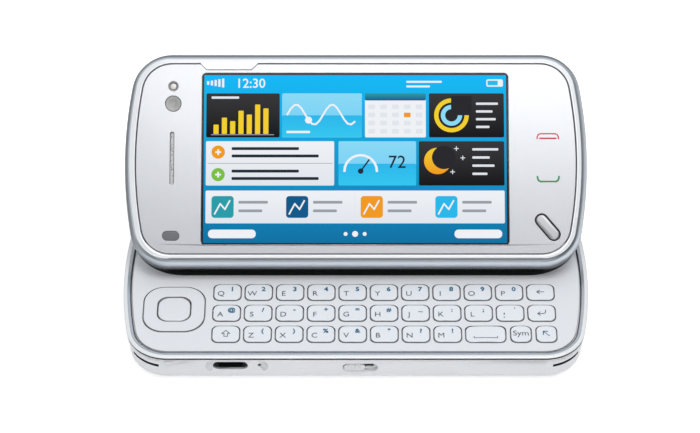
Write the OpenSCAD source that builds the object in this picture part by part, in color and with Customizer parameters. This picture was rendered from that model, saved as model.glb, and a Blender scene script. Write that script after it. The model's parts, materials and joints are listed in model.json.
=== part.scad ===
// Slider phone with a tilting screen half, drawn open, in millimetres.
// Origin: centre of the flat underside. +Z up, +X to the right, +Y to the back.
// Names ending in _gap are clearances, names ending in _z are heights.

/* [Outline of both halves] */
// Width over the bowed ends
body_w = 117.2; // [110:0.1:130]
// Depth from front to back
body_d = 55.3; // [52:0.1:65]
// Radius of the four corners
corner_r = 10.4; // [9:0.1:14]
// Radius of the bowed ends
end_r = 108; // [70:1:160]

/* [Heights] */
// Height of the base up to its deck
base_h = 8.7; // [8.2:0.1:11]
// Gap between the deck and the closed lid
lid_gap = 0.6; // [0.6:0.05:1.2]
// Thickness of the lid
lid_t = 6.6; // [6.4:0.1:9]

/* [Slide and tilt] */
// Travel of the slide
slide_travel = 28.3; // [24:0.1:28.6]
// Angle of the open lid
lid_tilt = 35.4; // [20:0.1:40]
// Radius of the lid's front lower edge, around the hinge
hinge_edge_r = 2.2; // [2.1:0.1:2.6]
// Length of a stay arm between its pins
stay_len = 11; // [9:0.1:11.4]
// Thickness of a stay arm
stay_t = 2; // [1.6:0.1:2.2]
// Width of a stay arm
stay_w = 1.8; // [1.2:0.1:2.2]
// Radius of the stay arms' pins
stay_pin_r = 0.5; // [0.4:0.05:0.6]
// Distance of the stay arms from the inner edge of the sliding bars
stay_in = 4.5; // [4.3:0.1:5.5]
// Radius of the hinge pins
hinge_pin_r = 0.6; // [0.5:0.05:0.7]
// Radius of the hinge barrels
barrel_r = 1.5; // [1.3:0.05:1.6]
// Width of a hinge barrel
barrel_w = 8; // [4:0.5:10]
// Distance of the hinge barrels from the middle
barrel_x = 35.5; // [20:0.5:36]
// Thickness of the sliding plates
plate_t = 1.1; // [1:0.05:1.2]
// Half width of the inner sliding plate
sled_half = 40.2; // [38:0.1:40.4]
// Distance of the sliding lugs from the middle
lug_x = 30; // [24:0.5:36]
// Depth of the bar across the outer sliding plate
carriage_bar_d = 2.4; // [1.6:0.1:3]
// Length of a sliding lug
lug_d = 5.8; // [4:0.1:6.2]
// Width of a lug's neck
lug_w = 1.2; // [0.8:0.1:2]
// Width of a lug's foot
foot_w = 3; // [2:0.1:4]
// Running clearance of the slide
run_gap = 0.05; // [0.03:0.01:0.1]

/* [Base shell] */
// Radius of the lower edge
base_edge_r = 2.4; // [1.5:0.1:3]
// How far the side wall leans in at its foot
base_lean = 0.7; // [0.4:0.05:1]
// Thickness of the side wall
base_wall = 1.9; // [1.7:0.05:2]
// Thickness of the floor
floor_t = 1.2; // [1.2:0.05:1.5]
// Width of the trim ring
trim_w = 2; // [1.6:0.05:2.2]
// Height of the trim ring
trim_h = 1; // [0.8:0.05:1.2]
// How far the trim stands out over the wall
trim_lip = 0.35; // [0.1:0.05:0.5]
// Gap around the deck plate
deck_gap = 0.35; // [0.15:0.05:0.5]
// Thickness of the deck plate
deck_t = 0.8; // [0.6:0.05:1]

/* [Keys] */
// Gap between keys, side by side
key_space = 0.76; // [0.7:0.02:1.4]
// Depth of a key
key_d = 5.8; // [5:0.05:6.4]
// Deck to the right of the keys
key_end = 6.35; // [5:0.05:9]
// Distance between rows
key_step_y = 7.19; // [6.8:0.01:7.4]
// Distance between the direction pad and the first key, middle to middle
pad_to_key = 13.15; // [12.6:0.05:15]
// Deck in front of the keys, from the front edge
key_front = 5.03; // [4.4:0.01:5.6]
// Corner radius of a key
key_r = 1.6; // [0.8:0.1:2.2]
// How far the keys stand out of the deck
key_up = 0.3; // [0.1:0.05:0.35]
// Radius of the crown of a key
key_crown = 42; // [20:1:90]
// Gap between the last keys of the bottom row
narrow_gap = 0.96; // [0.7:0.02:1.2]
// Width of the two narrow keys at the end of the bottom row
narrow_w = 5.35; // [4.5:0.05:6]
// Travel of the keys
key_travel = 0.3; // [0.2:0.05:0.35]
// Gap around each key
key_gap = 0.16; // [0.1:0.01:0.25]
// Width of the flange under each key
flange_w = 0.3; // [0.15:0.05:0.33]
// Thickness of the flange under each key
flange_t = 0.3; // [0.2:0.05:0.35]
// Size of the direction pad
pad_size = 15.6; // [14:0.1:16]
// Corner radius of the direction pad
pad_r = 5.4; // [3:0.1:7]
// Size of the select key
select_size = 8.5; // [7:0.1:9.5]
// Corner radius of the select key
select_r = 2.7; // [1.5:0.1:4]
// Distance of the direction pad's middle from the left end
pad_in = 13.2; // [12.2:0.05:14]
// Distance of the direction pad's middle from the front edge
pad_front = 16.48; // [15:0.05:18]

/* [Lid] */
// Inset of the face plate from the lid's edge
rim_w = 3.2; // [2.6:0.05:3.4]
// Flat land of the frame around the face plate
rim_land = 0.4; // [0.3:0.05:0.8]
// Gap around the face plate
face_gap = 0.12; // [0.08:0.01:0.2]
// Thickness of the face plate
face_t = 0.9; // [0.7:0.05:1]
// Wall of the lid's frame
lid_wall = 1.3; // [1:0.05:1.5]
// Thickness of the lid's inner floor
lid_floor = 0.6; // [0.5:0.05:0.8]
// Width of the face plate left and right of the picture
side_bar = 16.65; // [16.4:0.05:20]
// Width of the face plate above and below the picture
top_bar = 2.65; // [2.4:0.05:6]
// Middle of the picture, across
screen_x = -0.19; // [-0.5:0.01:0.5]
// Middle of the picture, front to back
screen_y = 0.07; // [-0.3:0.01:0.3]
// Dark border around the picture
screen_border = 0.6; // [0.3:0.05:0.7]
// Thickness of the display module
module_t = 2.6; // [2:0.1:2.7]
// Width of the tab at the top of the frame
tab_w = 14.4; // [10:0.1:18]
// Depth of the tab at the top of the frame
tab_d = 1.4; // [0.6:0.1:2]
// Middle of the tab
tab_x = -32.2; // [-34:0.1:-20]
// Length of the menu key
menu_len = 7.6; // [6:0.1:7.8]
// Width of the menu key
menu_w = 2.9; // [2:0.1:3.4]
// Slant of the menu key
menu_slant = -50; // [-90:1:0]
// Distance of the menu key from the right end
menu_in = 10.3; // [10.2:0.1:10.8]
// Middle of the menu key, front to back
menu_y = -17.4; // [-17.5:0.1:-10]
// How far the menu key stands out
menu_up = 0.15; // [0:0.05:0.3]
// Distance of the sensors from the left end
sensor_in = 12.3; // [10.6:0.1:12.6]
// Place of the front camera, front to back
front_cam_y = 14.4; // [12:0.1:15]
// Place of the light sensor, front to back
light_y = 18.9; // [18:0.1:19.2]
// Place of the earpiece, front to back
ear_y = 0.3; // [-2:0.1:3]
// Place of the proximity sensor, front to back
near_y = -19.6; // [-20:0.1:-14]
// Length of the proximity sensor's window
near_len = 4.3; // [3:0.1:5]
// Width of the proximity sensor's window
near_w = 2.5; // [2:0.1:3]
// Radius of the front camera
front_cam_r = 2; // [1.5:0.05:2.4]
// Radius of the light sensor
light_r = 1.2; // [0.8:0.05:1.4]
// Length of the earpiece slot
ear_len = 13.6; // [10:0.1:16]
// Width of the earpiece slot
ear_w = 1; // [0.7:0.05:1.4]

/* [Edge pieces] */
// Width of the data socket's opening
usb_w = 8.6; // [7:0.1:9.5]
// Height of the data socket's opening
usb_h = 2.6; // [2:0.05:3]
// Middle of the data socket, across
usb_x = -31; // [-33:0.1:-28]
// Height of the data socket's middle
usb_z = 5.2; // [4.4:0.05:5.4]
// Depth of the data socket
usb_depth = 5; // [4.5:0.1:6]
// Width of the shallow recess around the data socket
recess_w = 15.6; // [14:0.1:16]
// Height of the shallow recess around the data socket
recess_h = 4.4; // [3.6:0.1:4.6]
// Radius of the sound jack's bore
jack_r = 1.75; // [1.5:0.05:1.85]
// Depth of the sound jack's bore
jack_len = 14; // [12:0.1:15]
// Outer radius of the sound jack's barrel
jack_outer_r = 2.6; // [2.4:0.05:2.8]
// Place of the sound jack, front to back
jack_y = 12; // [10:0.5:14]
// Height of the edge keys' middle
edge_z = 4.4; // [4.2:0.05:4.6]
// Length of the volume key
volume_len = 16; // [12:0.5:18]
// Middle of the volume key, across
volume_x = -20; // [-24:0.5:-12]
// Length of the camera key
shutter_len = 9; // [7:0.5:12]
// Distance of the camera key's middle from the right end
shutter_in = 22.6; // [20.6:0.5:26.6]
// Length of the power key
power_len = 7.5; // [6:0.5:8]
// Middle of the power key, front to back
power_y = -4; // [-6:0.5:0]
// Height of the edge keys
edge_key_h = 2.2; // [1.8:0.1:2.6]
// How far the edge keys stand out of the wall
edge_key_up = 0.4; // [0.2:0.05:0.45]
// Width of the lock switch's slot
lock_slot_w = 8.8; // [8:0.1:10]
// Height of the lock switch's slot
lock_slot_h = 2.9; // [2.4:0.1:3.2]
// Middle of the lock switch's slot, across
lock_x = 1.1; // [0:0.1:3]
// Width of the lock switch
lock_w = 5.4; // [4.5:0.1:6]
// Height of the loudspeaker slots
vent_h = 0.9; // [0.6:0.05:1.2]
// Thickness of a loudspeaker
speaker_d = 2.3; // [1.6:0.1:2.6]
// Top of a loudspeaker
speaker_top = 6; // [5.7:0.05:6.05]

/* [Underside] */
// Left edge of the battery cover
cover_x0 = 4; // [2:0.5:8]
// Distance of the battery cover from the right end
cover_in = 7.6; // [6.6:0.1:10.6]
// Depth of the battery cover
cover_d = 42; // [38:0.5:43]
// Gap around the battery cover
cover_gap = 0.15; // [0.1:0.01:0.3]
// Thickness of the battery cover
cover_t = 0.9; // [0.7:0.05:1]
// Thickness of the battery
battery_t = 4; // [3:0.1:4.1]
// Distance of the camera's slider bay from the left end
bay_in = 5.6; // [5:0.1:6.6]
// Length of the lens cover
lens_cover_w = 15; // [12:0.5:16]
// Depth of the lens cover
lens_cover_d = 11.8; // [10:0.1:12.5]
// Travel of the lens cover
lens_travel = 14.5; // [12:0.5:15]
// Radius of the rear camera's lens
lens_r = 3.6; // [2.5:0.1:4]
// Radius of the screw heads
screw_r = 1.2; // [0.9:0.1:1.4]

/* [Hidden] */
$fa = 3;
$fs = 0.25;
corner_n = 18;
bow_n = 12;
thin = 0.01;
over = 1;
// outline centres
cyc = body_d / 2 - corner_r;
bow_x = body_w / 2 - end_r;
cxc = bow_x + sqrt(pow(end_r - corner_r, 2) - cyc * cyc);
bow_a = asin(cyc / (end_r - corner_r));
half_w = body_w / 2;
half_d = body_d / 2;
// levels
trim_z = base_h - trim_h;
deck_z = base_h - deck_t;
ledge_in = trim_w + deck_gap;
ledge_w = 0.55;
ledge_t = 0.8;
plate_gap = 0.15;
plate_z = base_h + key_up + plate_gap;
lid_z = base_h + lid_gap;
top_z = lid_z + lid_t;
pivot_z = lid_z + hinge_edge_r;
pivot_closed_y = hinge_edge_r - half_d;
pivot_y = pivot_closed_y + slide_travel;
bay_roof_z = plate_z + plate_t + 0.25;
lid_floor_z = bay_roof_z + lid_floor;
seam_z = pivot_z;
face_z = top_z - face_t;
face_seat_z = face_z - 0.6;
bar_w = 7;
bar_gap = 0.3;
bar_in = sled_half + bar_gap;
bar_out = bar_in + bar_w;
stay_x = bar_in + stay_in;
tongue_w = 0.65;
tongue_t = 0.4;
tongue_z = plate_z + plate_t / 2;
carriage_front = 0.8;
carriage_bar = carriage_front + carriage_bar_d;
carriage_back = 2 * stay_len + 1.9;
sled_back = half_d - ledge_in - 0.3;
sled_front = pivot_y + carriage_bar + plate_gap;
sled_travel = slide_travel / 2;
lug_back = sled_back - 0.5;
foot_t = 0.7;
slot_play = 0.15;
stay_back_open = 2 * stay_len * cos(lid_tilt);
pocket_roof = stay_t / 2 + 0.25;
pocket_skin = 0.5;
pocket_wall = 1.9;
ear_t = 0.7;
ear_in = stay_w / 2 + 0.3;
pocket_front = stay_len - stay_t / 2 - 0.25;
pocket_back = carriage_back + 0.35;
ears_front = stay_back_open - 1.1;
board_z = pivot_z + pocket_roof + pocket_skin;
board_t = 0.6;
lid_board_y = half_d - 6.15;
// reach of the lid's boards to the left and right, and to the back
sensor_board = [6.2, 4];
menu_board = [5, 4.2, 9];
// keys
key_top_z = base_h + key_up;
flange_z = deck_z - 0.05 - flange_t;
dome_z = flange_z - key_travel - 0.06;
mat_t = 0.35;
mat_z = dome_z - 0.12 - mat_t;
pcb_t = 0.6;
pcb_z = mat_z - pcb_t;
pad_x = pad_in - half_w;
pad_y = pad_front - half_d;
key_y0 = key_front + key_d / 2 + 2 * key_step_y - half_d;
key_x0 = pad_x + pad_to_key;
row_end = half_w - ledge_in - key_end;
key_step_x = (row_end + key_space / 2 - key_x0) / 10.5;
key_w = key_step_x - key_space;
space_w = 3 * key_step_x - key_space - 2 * narrow_w - 2 * narrow_gap;
space_x = key_x0 + 8 * key_step_x - key_w / 2 + space_w / 2;
ctrl_x = row_end - narrow_w / 2;
sym_x = ctrl_x - narrow_w - narrow_gap;
// face plate
screen_w = body_w - 2 * (rim_w + side_bar);
screen_d = body_d - 2 * (rim_w + top_bar);
glass_w = screen_w + 2 * screen_border;
glass_d = screen_d + 2 * screen_border;
glass_gap = 0.08;
face_lip = 1.2;
module_gap = 1.06;
module_d = 2 * (half_d - rim_w - face_gap - face_lip - 0.35);
module_w = 2 * (stay_x - stay_w / 2 - pocket_wall - module_gap - abs(screen_x));
sensor_x = sensor_in - half_w;
menu_x = half_w - menu_in;
menu_stroke = 0.3;
menu_foot = 0.4;
menu_ledge = 0.35;
menu_low = face_z - 0.05 - menu_foot;
// rear, front and side walls at the height of the edge keys
wall_in = base_lean - 0.15;
shutter_x = half_w - shutter_in;
edge_key_deep = 2.6;
volume_deep = 1.6;
volume_boss_r = 0.7;
back_y = half_d - wall_in;
left_x = bow_x + sqrt(pow(end_r, 2) - pow(power_y, 2)) - wall_in;
jack_face_x = bow_x + sqrt(pow(end_r, 2) - pow(jack_y, 2)) - wall_in - 0.35;
socket_back = half_d - wall_in - usb_depth;
socket_front = half_d - wall_in - 0.7;
edge_gap = 0.12;
lock_z = 4.6;
lock_deep = 0.9;
vent_z = 5.1;
vent_a0 = 31;
vent_a1 = 78;
lamp_x = usb_x + 7.2;
lamp_z = usb_z + 0.2;
lamp_r = 0.45;
recess_x = usb_x + 1.6;
recess_deep = 0.1;
// underside
cover_x1 = half_w - cover_in;
cover_r = 3;
battery_lip = 1.6;
battery_gap = 0.4;
battery_z = floor_t + 0.1;
bay_deep = 0.95;
bay_x0 = bay_in - half_w;
bay_x1 = bay_x0 + lens_cover_w + lens_travel + 0.2;
bay_groove = 0.6;
lens_x = bay_x0 + 5.8;
bay_pad_t = 0.7;
flash_x = lens_x + 6.4;
flash_y = 1.7;
flash_r = 1.3;
screw_in = 5.25;
screw_x = [-38, -22, cover_x0 - 3.4];
screw_post_w = 0.6;
screws = [[screw_x[0], half_d - screw_in - 0.9], [screw_x[1], screw_in - half_d],
          [screw_x[2], half_d - screw_in], [screw_x[2], screw_in - half_d], [half_w - 5.4, 0]];
// rear camera
lens_body_h = 4.45;
lens_body_w = 0.25;
lens_holder_h = 3.2;
lens_holder_w = 1.2;
lens_ring_w = 1.2;
lens_deep = 1.6;
flash_h = 2;
// main board: edge, room around its neighbours, parts as [x0, y0, x1, y1, height]
board_in = 1.6;
board_room = 0.3;
foot_room = [0.6, 1];
board_parts = [[-26, -20, -10, -6, 1.4], [-26, 0, -14, 12, 1.2], [-8, 4, 0, 18, 1.1]];

// ---- colours ----
pearl = [0.86, 0.87, 0.90];
white_shell = [0.93, 0.93, 0.94];
chrome_tone = [0.62, 0.68, 0.74];
steel_tone = [0.55, 0.57, 0.60];
dark = [0.12, 0.13, 0.15];
board_green = [0.10, 0.32, 0.22];

// ---- shared shapes ----
// outline of both halves, taken in by inset
module outline(inset) {
    square([2 * cxc, body_d - 2 * inset], center = true);
    for (sx = [-1, 1]) for (sy = [-1, 1])
        translate([sx * cxc, sy * cyc]) circle(corner_r - inset);
    intersection() {
        translate([bow_x, 0]) circle(end_r - inset);
        translate([-bow_x, 0]) circle(end_r - inset);
        square([2 * body_w, 2 * cyc], center = true);
    }
}

// points of the outline, taken in by inset, anticlockwise from the right end
function arc(cx, cy, r, a0, a1, n, last) =
    [for (i = [0:n - 1 + last])
        let (a = a0 + (a1 - a0) * i / n) [cx + r * cos(a), cy + r * sin(a)]];
function ring(inset) = concat(
    arc(bow_x, 0, end_r - inset, -bow_a, bow_a, bow_n, 0),
    arc(cxc, cyc, corner_r - inset, bow_a, 90, corner_n, 1),
    arc(-cxc, cyc, corner_r - inset, 90, 180 - bow_a, corner_n, 0),
    arc(-bow_x, 0, end_r - inset, 180 - bow_a, 180 + bow_a, bow_n, 0),
    arc(-cxc, -cyc, corner_r - inset, 180 + bow_a, 270, corner_n, 1),
    arc(cxc, -cyc, corner_r - inset, 270, 360 - bow_a, corner_n, 0));

// rounded slab through a list of [inset, height] layers, from the bottom up
module slab(layers) {
    n = len(ring(0));
    m = len(layers);
    points = [for (p = layers) for (q = ring(p[0])) [q[0], q[1], p[1]]];
    sides = [for (k = [0:m - 2]) for (i = [0:n - 1])
        [k * n + i, (k + 1) * n + i, (k + 1) * n + (i + 1) % n, k * n + (i + 1) % n]];
    ends = [[for (i = [0:n - 1]) i], [for (i = [n - 1:-1:0]) (m - 1) * n + i]];
    polyhedron(points = points, faces = concat(sides, ends));
}

module rounded(w, d, r) {
    square([w - 2 * r, d], center = true);
    square([w, d - 2 * r], center = true);
    for (sx = [-1, 1]) for (sy = [-1, 1])
        translate([sx * (w / 2 - r), sy * (d / 2 - r)]) circle(r);
}

module pill(len, w) {
    square([len - w, w], center = true);
    for (s = [-1, 1]) translate([s * (len - w) / 2, 0]) circle(w / 2);
}

module raise(z0, z1) {
    translate([0, 0, z0]) linear_extrude(z1 - z0) children();
}

// box from one corner to the other
module block(a, b) {
    translate(a) cube([b[0] - a[0], b[1] - a[1], b[2] - a[2]]);
}

module rod_x(x0, x1, r) {
    translate([x0, 0, 0]) rotate([0, 90, 0]) cylinder(h = x1 - x0, r = r);
}

// moves a piece drawn closed to the open, tilted lid
module on_lid() {
    translate([0, pivot_y, pivot_z]) rotate([lid_tilt, 0, 0])
        translate([0, -pivot_closed_y, -pivot_z]) children();
}

// both sides, left and right
module both() {
    children();
    mirror([1, 0, 0]) children();
}

// ---- base ----
module base_housing() {
    wall_layers = concat(
        [for (a = [90:-18:0]) [base_lean + base_edge_r * (1 - cos(a)), base_edge_r * (1 - sin(a))]],
        [[trim_lip, trim_z]]);
    color(white_shell) difference() {
        union() {
            difference() {
                union() {
                    slab(wall_layers);
                    raise(trim_z - 0.2, deck_z) outline(trim_w + 0.12);
                }
                raise(floor_t, deck_z - ledge_t) outline(base_wall);
                raise(deck_z - ledge_t - thin, base_h) outline(ledge_in + ledge_w);
            }
            block([bay_x0 - 1, -lens_cover_d / 2 - 2, floor_t - thin],
                  [bay_x1 + 1, lens_cover_d / 2 + 2, floor_t + bay_pad_t]);
            for (p = screws) translate([p[0], p[1], 0]) cylinder(h = pcb_z, r = screw_r + screw_post_w);
            battery_walls();
        }
        // battery cover and its rim
        raise(-over, cover_t + 0.15) cover_shape(cover_gap);
        raise(0, battery_z + battery_t) cover_shape(-battery_lip);
        lens_bay();
        for (p = screws) translate([p[0], p[1], -over]) cylinder(h = 1 + over, r = screw_r);
        for (p = screws) translate([p[0], p[1], 0]) cylinder(h = pcb_z - 1, r = screw_r / 2);
        front_openings();
        edge_openings();
        for (s = [0, 1]) mirror([s, 0, 0]) vent();
    }
}

module battery_walls() {
    difference() {
        raise(0.5, battery_z + battery_t - 1) cover_shape(-0.4);
        raise(0, battery_z + battery_t) cover_shape(-battery_lip);
    }
}

module cover_shape(grow) {
    w = cover_x1 - cover_x0 + 2 * grow;
    translate([(cover_x0 + cover_x1) / 2, 0]) rounded(w, cover_d + 2 * grow, cover_r + grow);
}

module lens_bay() {
    half = lens_cover_d / 2 + run_gap;
    block([bay_x0, -half, -over], [bay_x1, half, bay_deep]);
    block([bay_x0, -half - bay_groove, 0.35], [bay_x1, half + bay_groove, bay_deep]);
    translate([lens_x, 0, 0]) cylinder(h = floor_t + 2, r = lens_r + 0.3);
    for (s = [-1, 1]) translate([flash_x, flash_y * s, 0]) cylinder(h = floor_t + 2, r = flash_r);
}

module front_openings() {
    translate([usb_x, 0, usb_z]) rotate([90, 0, 0]) raise(half_d - usb_depth - 1, half_d + over)
        pill(usb_w, usb_h);
    translate([recess_x, 0, usb_z]) rotate([90, 0, 0])
        raise(half_d - wall_in - recess_deep, half_d + over) pill(recess_w, recess_h);
    translate([lamp_x, 0, lamp_z]) rotate([90, 0, 0]) cylinder(h = half_d + over, r = lamp_r);
    translate([lock_x, 0, lock_z]) rotate([90, 0, 0]) raise(half_d - wall_in - lock_deep, half_d + over)
        pill(lock_slot_w, lock_slot_h);
    translate([lock_x, 0, lock_z]) rotate([90, 0, 0]) raise(half_d - 4, half_d)
        pill(lock_slot_w - 2, 1.2);
}

module edge_key_shape(len, grow) {
    pill(len + 2 * grow, edge_key_h + 2 * grow);
}

module edge_openings() {
    translate([volume_x, 0, edge_z]) rotate([-90, 0, 0]) raise(half_d - 4, half_d + over)
        edge_key_shape(volume_len, 0.25);
    translate([shutter_x, 0, edge_z]) rotate([-90, 0, 0]) raise(half_d - 4, half_d + over)
        edge_key_shape(shutter_len, edge_gap);
    translate([0, power_y, edge_z]) rotate([90, 0, -90]) raise(half_w - 4, half_w + over)
        edge_key_shape(power_len, edge_gap);
    translate([0, jack_y, edge_z]) rod_x(-half_w - over, -half_w + 4, jack_outer_r);
}

// curved slot in front of a loudspeaker, left corner
module vent() {
    translate([-cxc, -cyc, vent_z]) rotate_extrude(angle = vent_a1 - vent_a0, start = 180 + vent_a0)
        translate([corner_r - 3, -vent_h / 2]) square([4, vent_h]);
}

module deck_plate() {
    color(pearl) difference() {
        raise(deck_z, base_h) outline(ledge_in);
        raise(deck_z - over, base_h + over) {
            for (k = keys) translate([k[0], k[1]]) rounded(k[2] + 2 * key_gap, key_d + 2 * key_gap,
                                                           key_r + key_gap);
            translate([pad_x, pad_y]) rounded(pad_size + 2 * key_gap, pad_size + 2 * key_gap,
                                              pad_r + key_gap);
            for (s = [-1, 1]) translate([s * lug_x, 0]) lug_slot();
        }
    }
}

module lug_slot() {
    y0 = lug_back - lug_d - sled_travel - slot_play;
    translate([-lug_w / 2 - run_gap, y0]) square([lug_w + 2 * run_gap, lug_back + slot_play - y0]);
}

module base_trim() {
    layers = [[0.25, trim_z], [0, trim_z + 0.25], [0, base_h - 0.45], [0.06, base_h - 0.25],
              [0.25, base_h - 0.1], [0.7, base_h]];
    color(chrome_tone) difference() {
        slab(layers);
        raise(trim_z - over, base_h + over) outline(trim_w);
    }
}

module battery() {
    color([0.20, 0.22, 0.25]) {
        raise(battery_z, battery_z + battery_t) cover_shape(-battery_lip - battery_gap);
    }
}

module main_board() {
    color(board_green) difference() {
        union() {
            raise(pcb_z, pcb_z + pcb_t) outline(base_wall + board_in);
            for (p = board_parts) block([p[0], p[1], pcb_z - p[4]], [p[2], p[3], pcb_z]);
        }
        // room for the sliding feet
        for (s = [-1, 1]) translate([s * lug_x, 0])
            block([-foot_w / 2 - foot_room[0], lug_back - lug_d - sled_travel - foot_room[1],
                   pcb_z - over],
                  [foot_w / 2 + foot_room[0], lug_back + foot_room[1], pcb_z + pcb_t + over]);
        translate([lens_x, 0, pcb_z - over])
            cylinder(h = pcb_t + 2 * over, r = lens_r + lens_holder_w + 0.2);
        // room for the data socket and the sound jack
        block([usb_x - usb_w / 2 - board_room, -half_d, pcb_z - over],
              [usb_x + usb_w / 2 + board_room, -socket_back + 0.5 + board_room, pcb_z + over]);
        block([-half_w, jack_y - jack_outer_r - board_room, pcb_z - over],
              [-jack_face_x + jack_len + 1.5 + board_room, jack_y + jack_outer_r + board_room,
               pcb_z + over]);
    }
}

module keymat() {
    color([0.75, 0.76, 0.78]) {
        raise(mat_z, mat_z + mat_t) {
            translate([(key_x0 + row_end) / 2 - 1.5, key_y0 - key_step_y])
                rounded(row_end - key_x0 + 6.6, 3 * key_step_y, 3);
            translate([pad_x, pad_y]) rounded(pad_size, pad_size, pad_r);
        }
        for (k = keys) translate([k[0], k[1], mat_z + mat_t - thin])
            cylinder(h = dome_z - mat_z - mat_t + thin, r = 1.6);
        translate([pad_x, pad_y, mat_z + mat_t - thin]) {
            cylinder(h = dome_z - mat_z - mat_t + thin, r = 1.8);
            for (a = [0:90:270]) rotate(a) translate([(pad_size + select_size) / 4, 0, 0])
                cylinder(h = dome_z - mat_z - mat_t + thin, r = 0.9);
        }
    }
}

module ports_and_speakers() {
    color(steel_tone) {
        // data socket with its tongue
        difference() {
            translate([usb_x, 0, usb_z]) rotate([90, 0, 0]) raise(socket_back - 0.5, socket_front)
                pill(usb_w - 0.1, usb_h - 0.1);
            translate([usb_x, 0, usb_z]) rotate([90, 0, 0]) raise(socket_back, socket_front + over)
                pill(usb_w - 0.7, usb_h - 0.6);
        }
        block([usb_x - 2.6, -socket_front + 0.8, usb_z - 0.1],
              [usb_x + 2.6, -socket_back + 0.2, usb_z + 0.5]);
        // sound jack
        translate([0, jack_y, edge_z]) difference() {
            rod_x(-jack_face_x, -jack_face_x + jack_len + 1.5, jack_outer_r - run_gap);
            rod_x(-jack_face_x - over, -jack_face_x + jack_len + 0.5, jack_r);
        }
    }
    color(dark) {
        // two loudspeakers behind the curved slots
        for (s = [0, 1]) mirror([s, 0, 0]) translate([-cxc, -cyc, 0])
            rotate_extrude(angle = vent_a1 - vent_a0, start = 180 + vent_a0)
                translate([corner_r - base_wall - plate_gap - speaker_d, floor_t])
                    square([speaker_d, speaker_top - floor_t]);
        // lamp beside the socket
        translate([lamp_x, 0, lamp_z]) rotate([90, 0, 0])
            raise(half_d - 3, half_d - wall_in - recess_deep - 0.1) circle(lamp_r - thin);
    }
}

module rear_camera() {
    color(dark) {
        translate([lens_x, 0, 0]) difference() {
            union() {
                translate([0, 0, bay_deep + 0.05])
                    cylinder(h = lens_body_h, r = lens_r + lens_body_w);
                translate([0, 0, floor_t + bay_pad_t])
                    cylinder(h = lens_holder_h, r = lens_r + lens_holder_w);
            }
            cylinder(h = lens_deep, r = lens_r - lens_ring_w);
        }
        for (s = [-1, 1]) translate([flash_x, flash_y * s, bay_deep + 0.05])
            cylinder(h = flash_h, r = flash_r - run_gap);
    }
}

module case_screws() {
    color(steel_tone) for (p = screws) translate([p[0], p[1], 0]) difference() {
        union() {
            translate([0, 0, 0.3]) cylinder(h = 0.7, r = screw_r - 0.02);
            translate([0, 0, 1 - thin]) cylinder(h = pcb_z - 2.2, r = screw_r / 2 - 0.02);
        }
        translate([-screw_r * 0.7, -0.15, 0]) cube([screw_r * 1.4, 0.3, 0.6]);
        translate([-0.15, -screw_r * 0.7, 0]) cube([0.3, screw_r * 1.4, 0.6]);
    }
}

// ---- keys ----
// middle x, middle y and width of each key
function key_at(row, n) = [key_x0 + n * key_step_x, key_y0 - row * key_step_y, key_w];
keys = concat([for (n = [0:10]) key_at(0, n)], [for (n = [0:10]) key_at(1, n)],
              [for (n = [0:7]) key_at(2, n)],
              [[space_x, key_y0 - 2 * key_step_y, space_w], [sym_x, key_y0 - 2 * key_step_y, narrow_w],
               [ctrl_x, key_y0 - 2 * key_step_y, narrow_w]]);

module key(n) {
    k = keys[n];
    color(white_shell) translate([k[0], k[1], 0]) {
        intersection() {
            raise(flange_z + flange_t / 2, key_top_z) rounded(k[2], key_d, key_r);
            translate([0, key_d, key_top_z - key_crown]) rotate([90, 0, 0])
                cylinder(h = 2 * key_d, r = key_crown);
        }
        raise(flange_z, flange_z + flange_t) rounded(k[2] + 2 * flange_w, key_d + 2 * flange_w,
                                                      key_r + flange_w);
    }
}

module keycap_q() { key(0); }
module keycap_w() { key(1); }
module keycap_e() { key(2); }
module keycap_r() { key(3); }
module keycap_t() { key(4); }
module keycap_y() { key(5); }
module keycap_u() { key(6); }
module keycap_i() { key(7); }
module keycap_o() { key(8); }
module keycap_p() { key(9); }
module keycap_backspace() { key(10); }
module keycap_a() { key(11); }
module keycap_s() { key(12); }
module keycap_d() { key(13); }
module keycap_f() { key(14); }
module keycap_g() { key(15); }
module keycap_h() { key(16); }
module keycap_j() { key(17); }
module keycap_k() { key(18); }
module keycap_l() { key(19); }
module keycap_dot() { key(20); }
module keycap_enter() { key(21); }
module keycap_shift() { key(22); }
module keycap_z() { key(23); }
module keycap_x() { key(24); }
module keycap_c() { key(25); }
module keycap_v() { key(26); }
module keycap_b() { key(27); }
module keycap_n() { key(28); }
module keycap_m() { key(29); }
module keycap_space() { key(30); }
module keycap_sym() { key(31); }
module keycap_ctrl() { key(32); }

module dpad_ring() {
    hole = select_size + 2 * key_gap;
    color(white_shell) translate([pad_x, pad_y, 0]) difference() {
        union() {
            raise(flange_z + flange_t / 2, key_top_z - 0.1) rounded(pad_size, pad_size, pad_r);
            raise(flange_z, flange_z + flange_t) rounded(pad_size + 2 * flange_w,
                                                          pad_size + 2 * flange_w, pad_r + flange_w);
        }
        raise(flange_z - over, key_top_z + over) rounded(hole, hole, select_r + key_gap);
    }
}

module select_key() {
    color(white_shell) translate([pad_x, pad_y, 0])
        raise(flange_z, key_top_z - 0.05) rounded(select_size, select_size, select_r);
}

// ---- slide ----
module slide_sled() {
    color(steel_tone) {
        block([-sled_half, sled_front, plate_z], [sled_half, sled_back, plate_z + plate_t]);
        both() {
            block([sled_half - over, sled_front, tongue_z - tongue_t / 2],
                  [sled_half + tongue_w + 0.1, sled_back, tongue_z + tongue_t / 2]);
            block([lug_x - lug_w / 2, lug_back - lug_d, deck_z - 0.2],
                  [lug_x + lug_w / 2, lug_back, plate_z + over / 2]);
            block([lug_x - foot_w / 2, lug_back - lug_d, deck_z - 0.1 - foot_t],
                  [lug_x + foot_w / 2, lug_back, deck_z - 0.1]);
        }
    }
}

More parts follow.
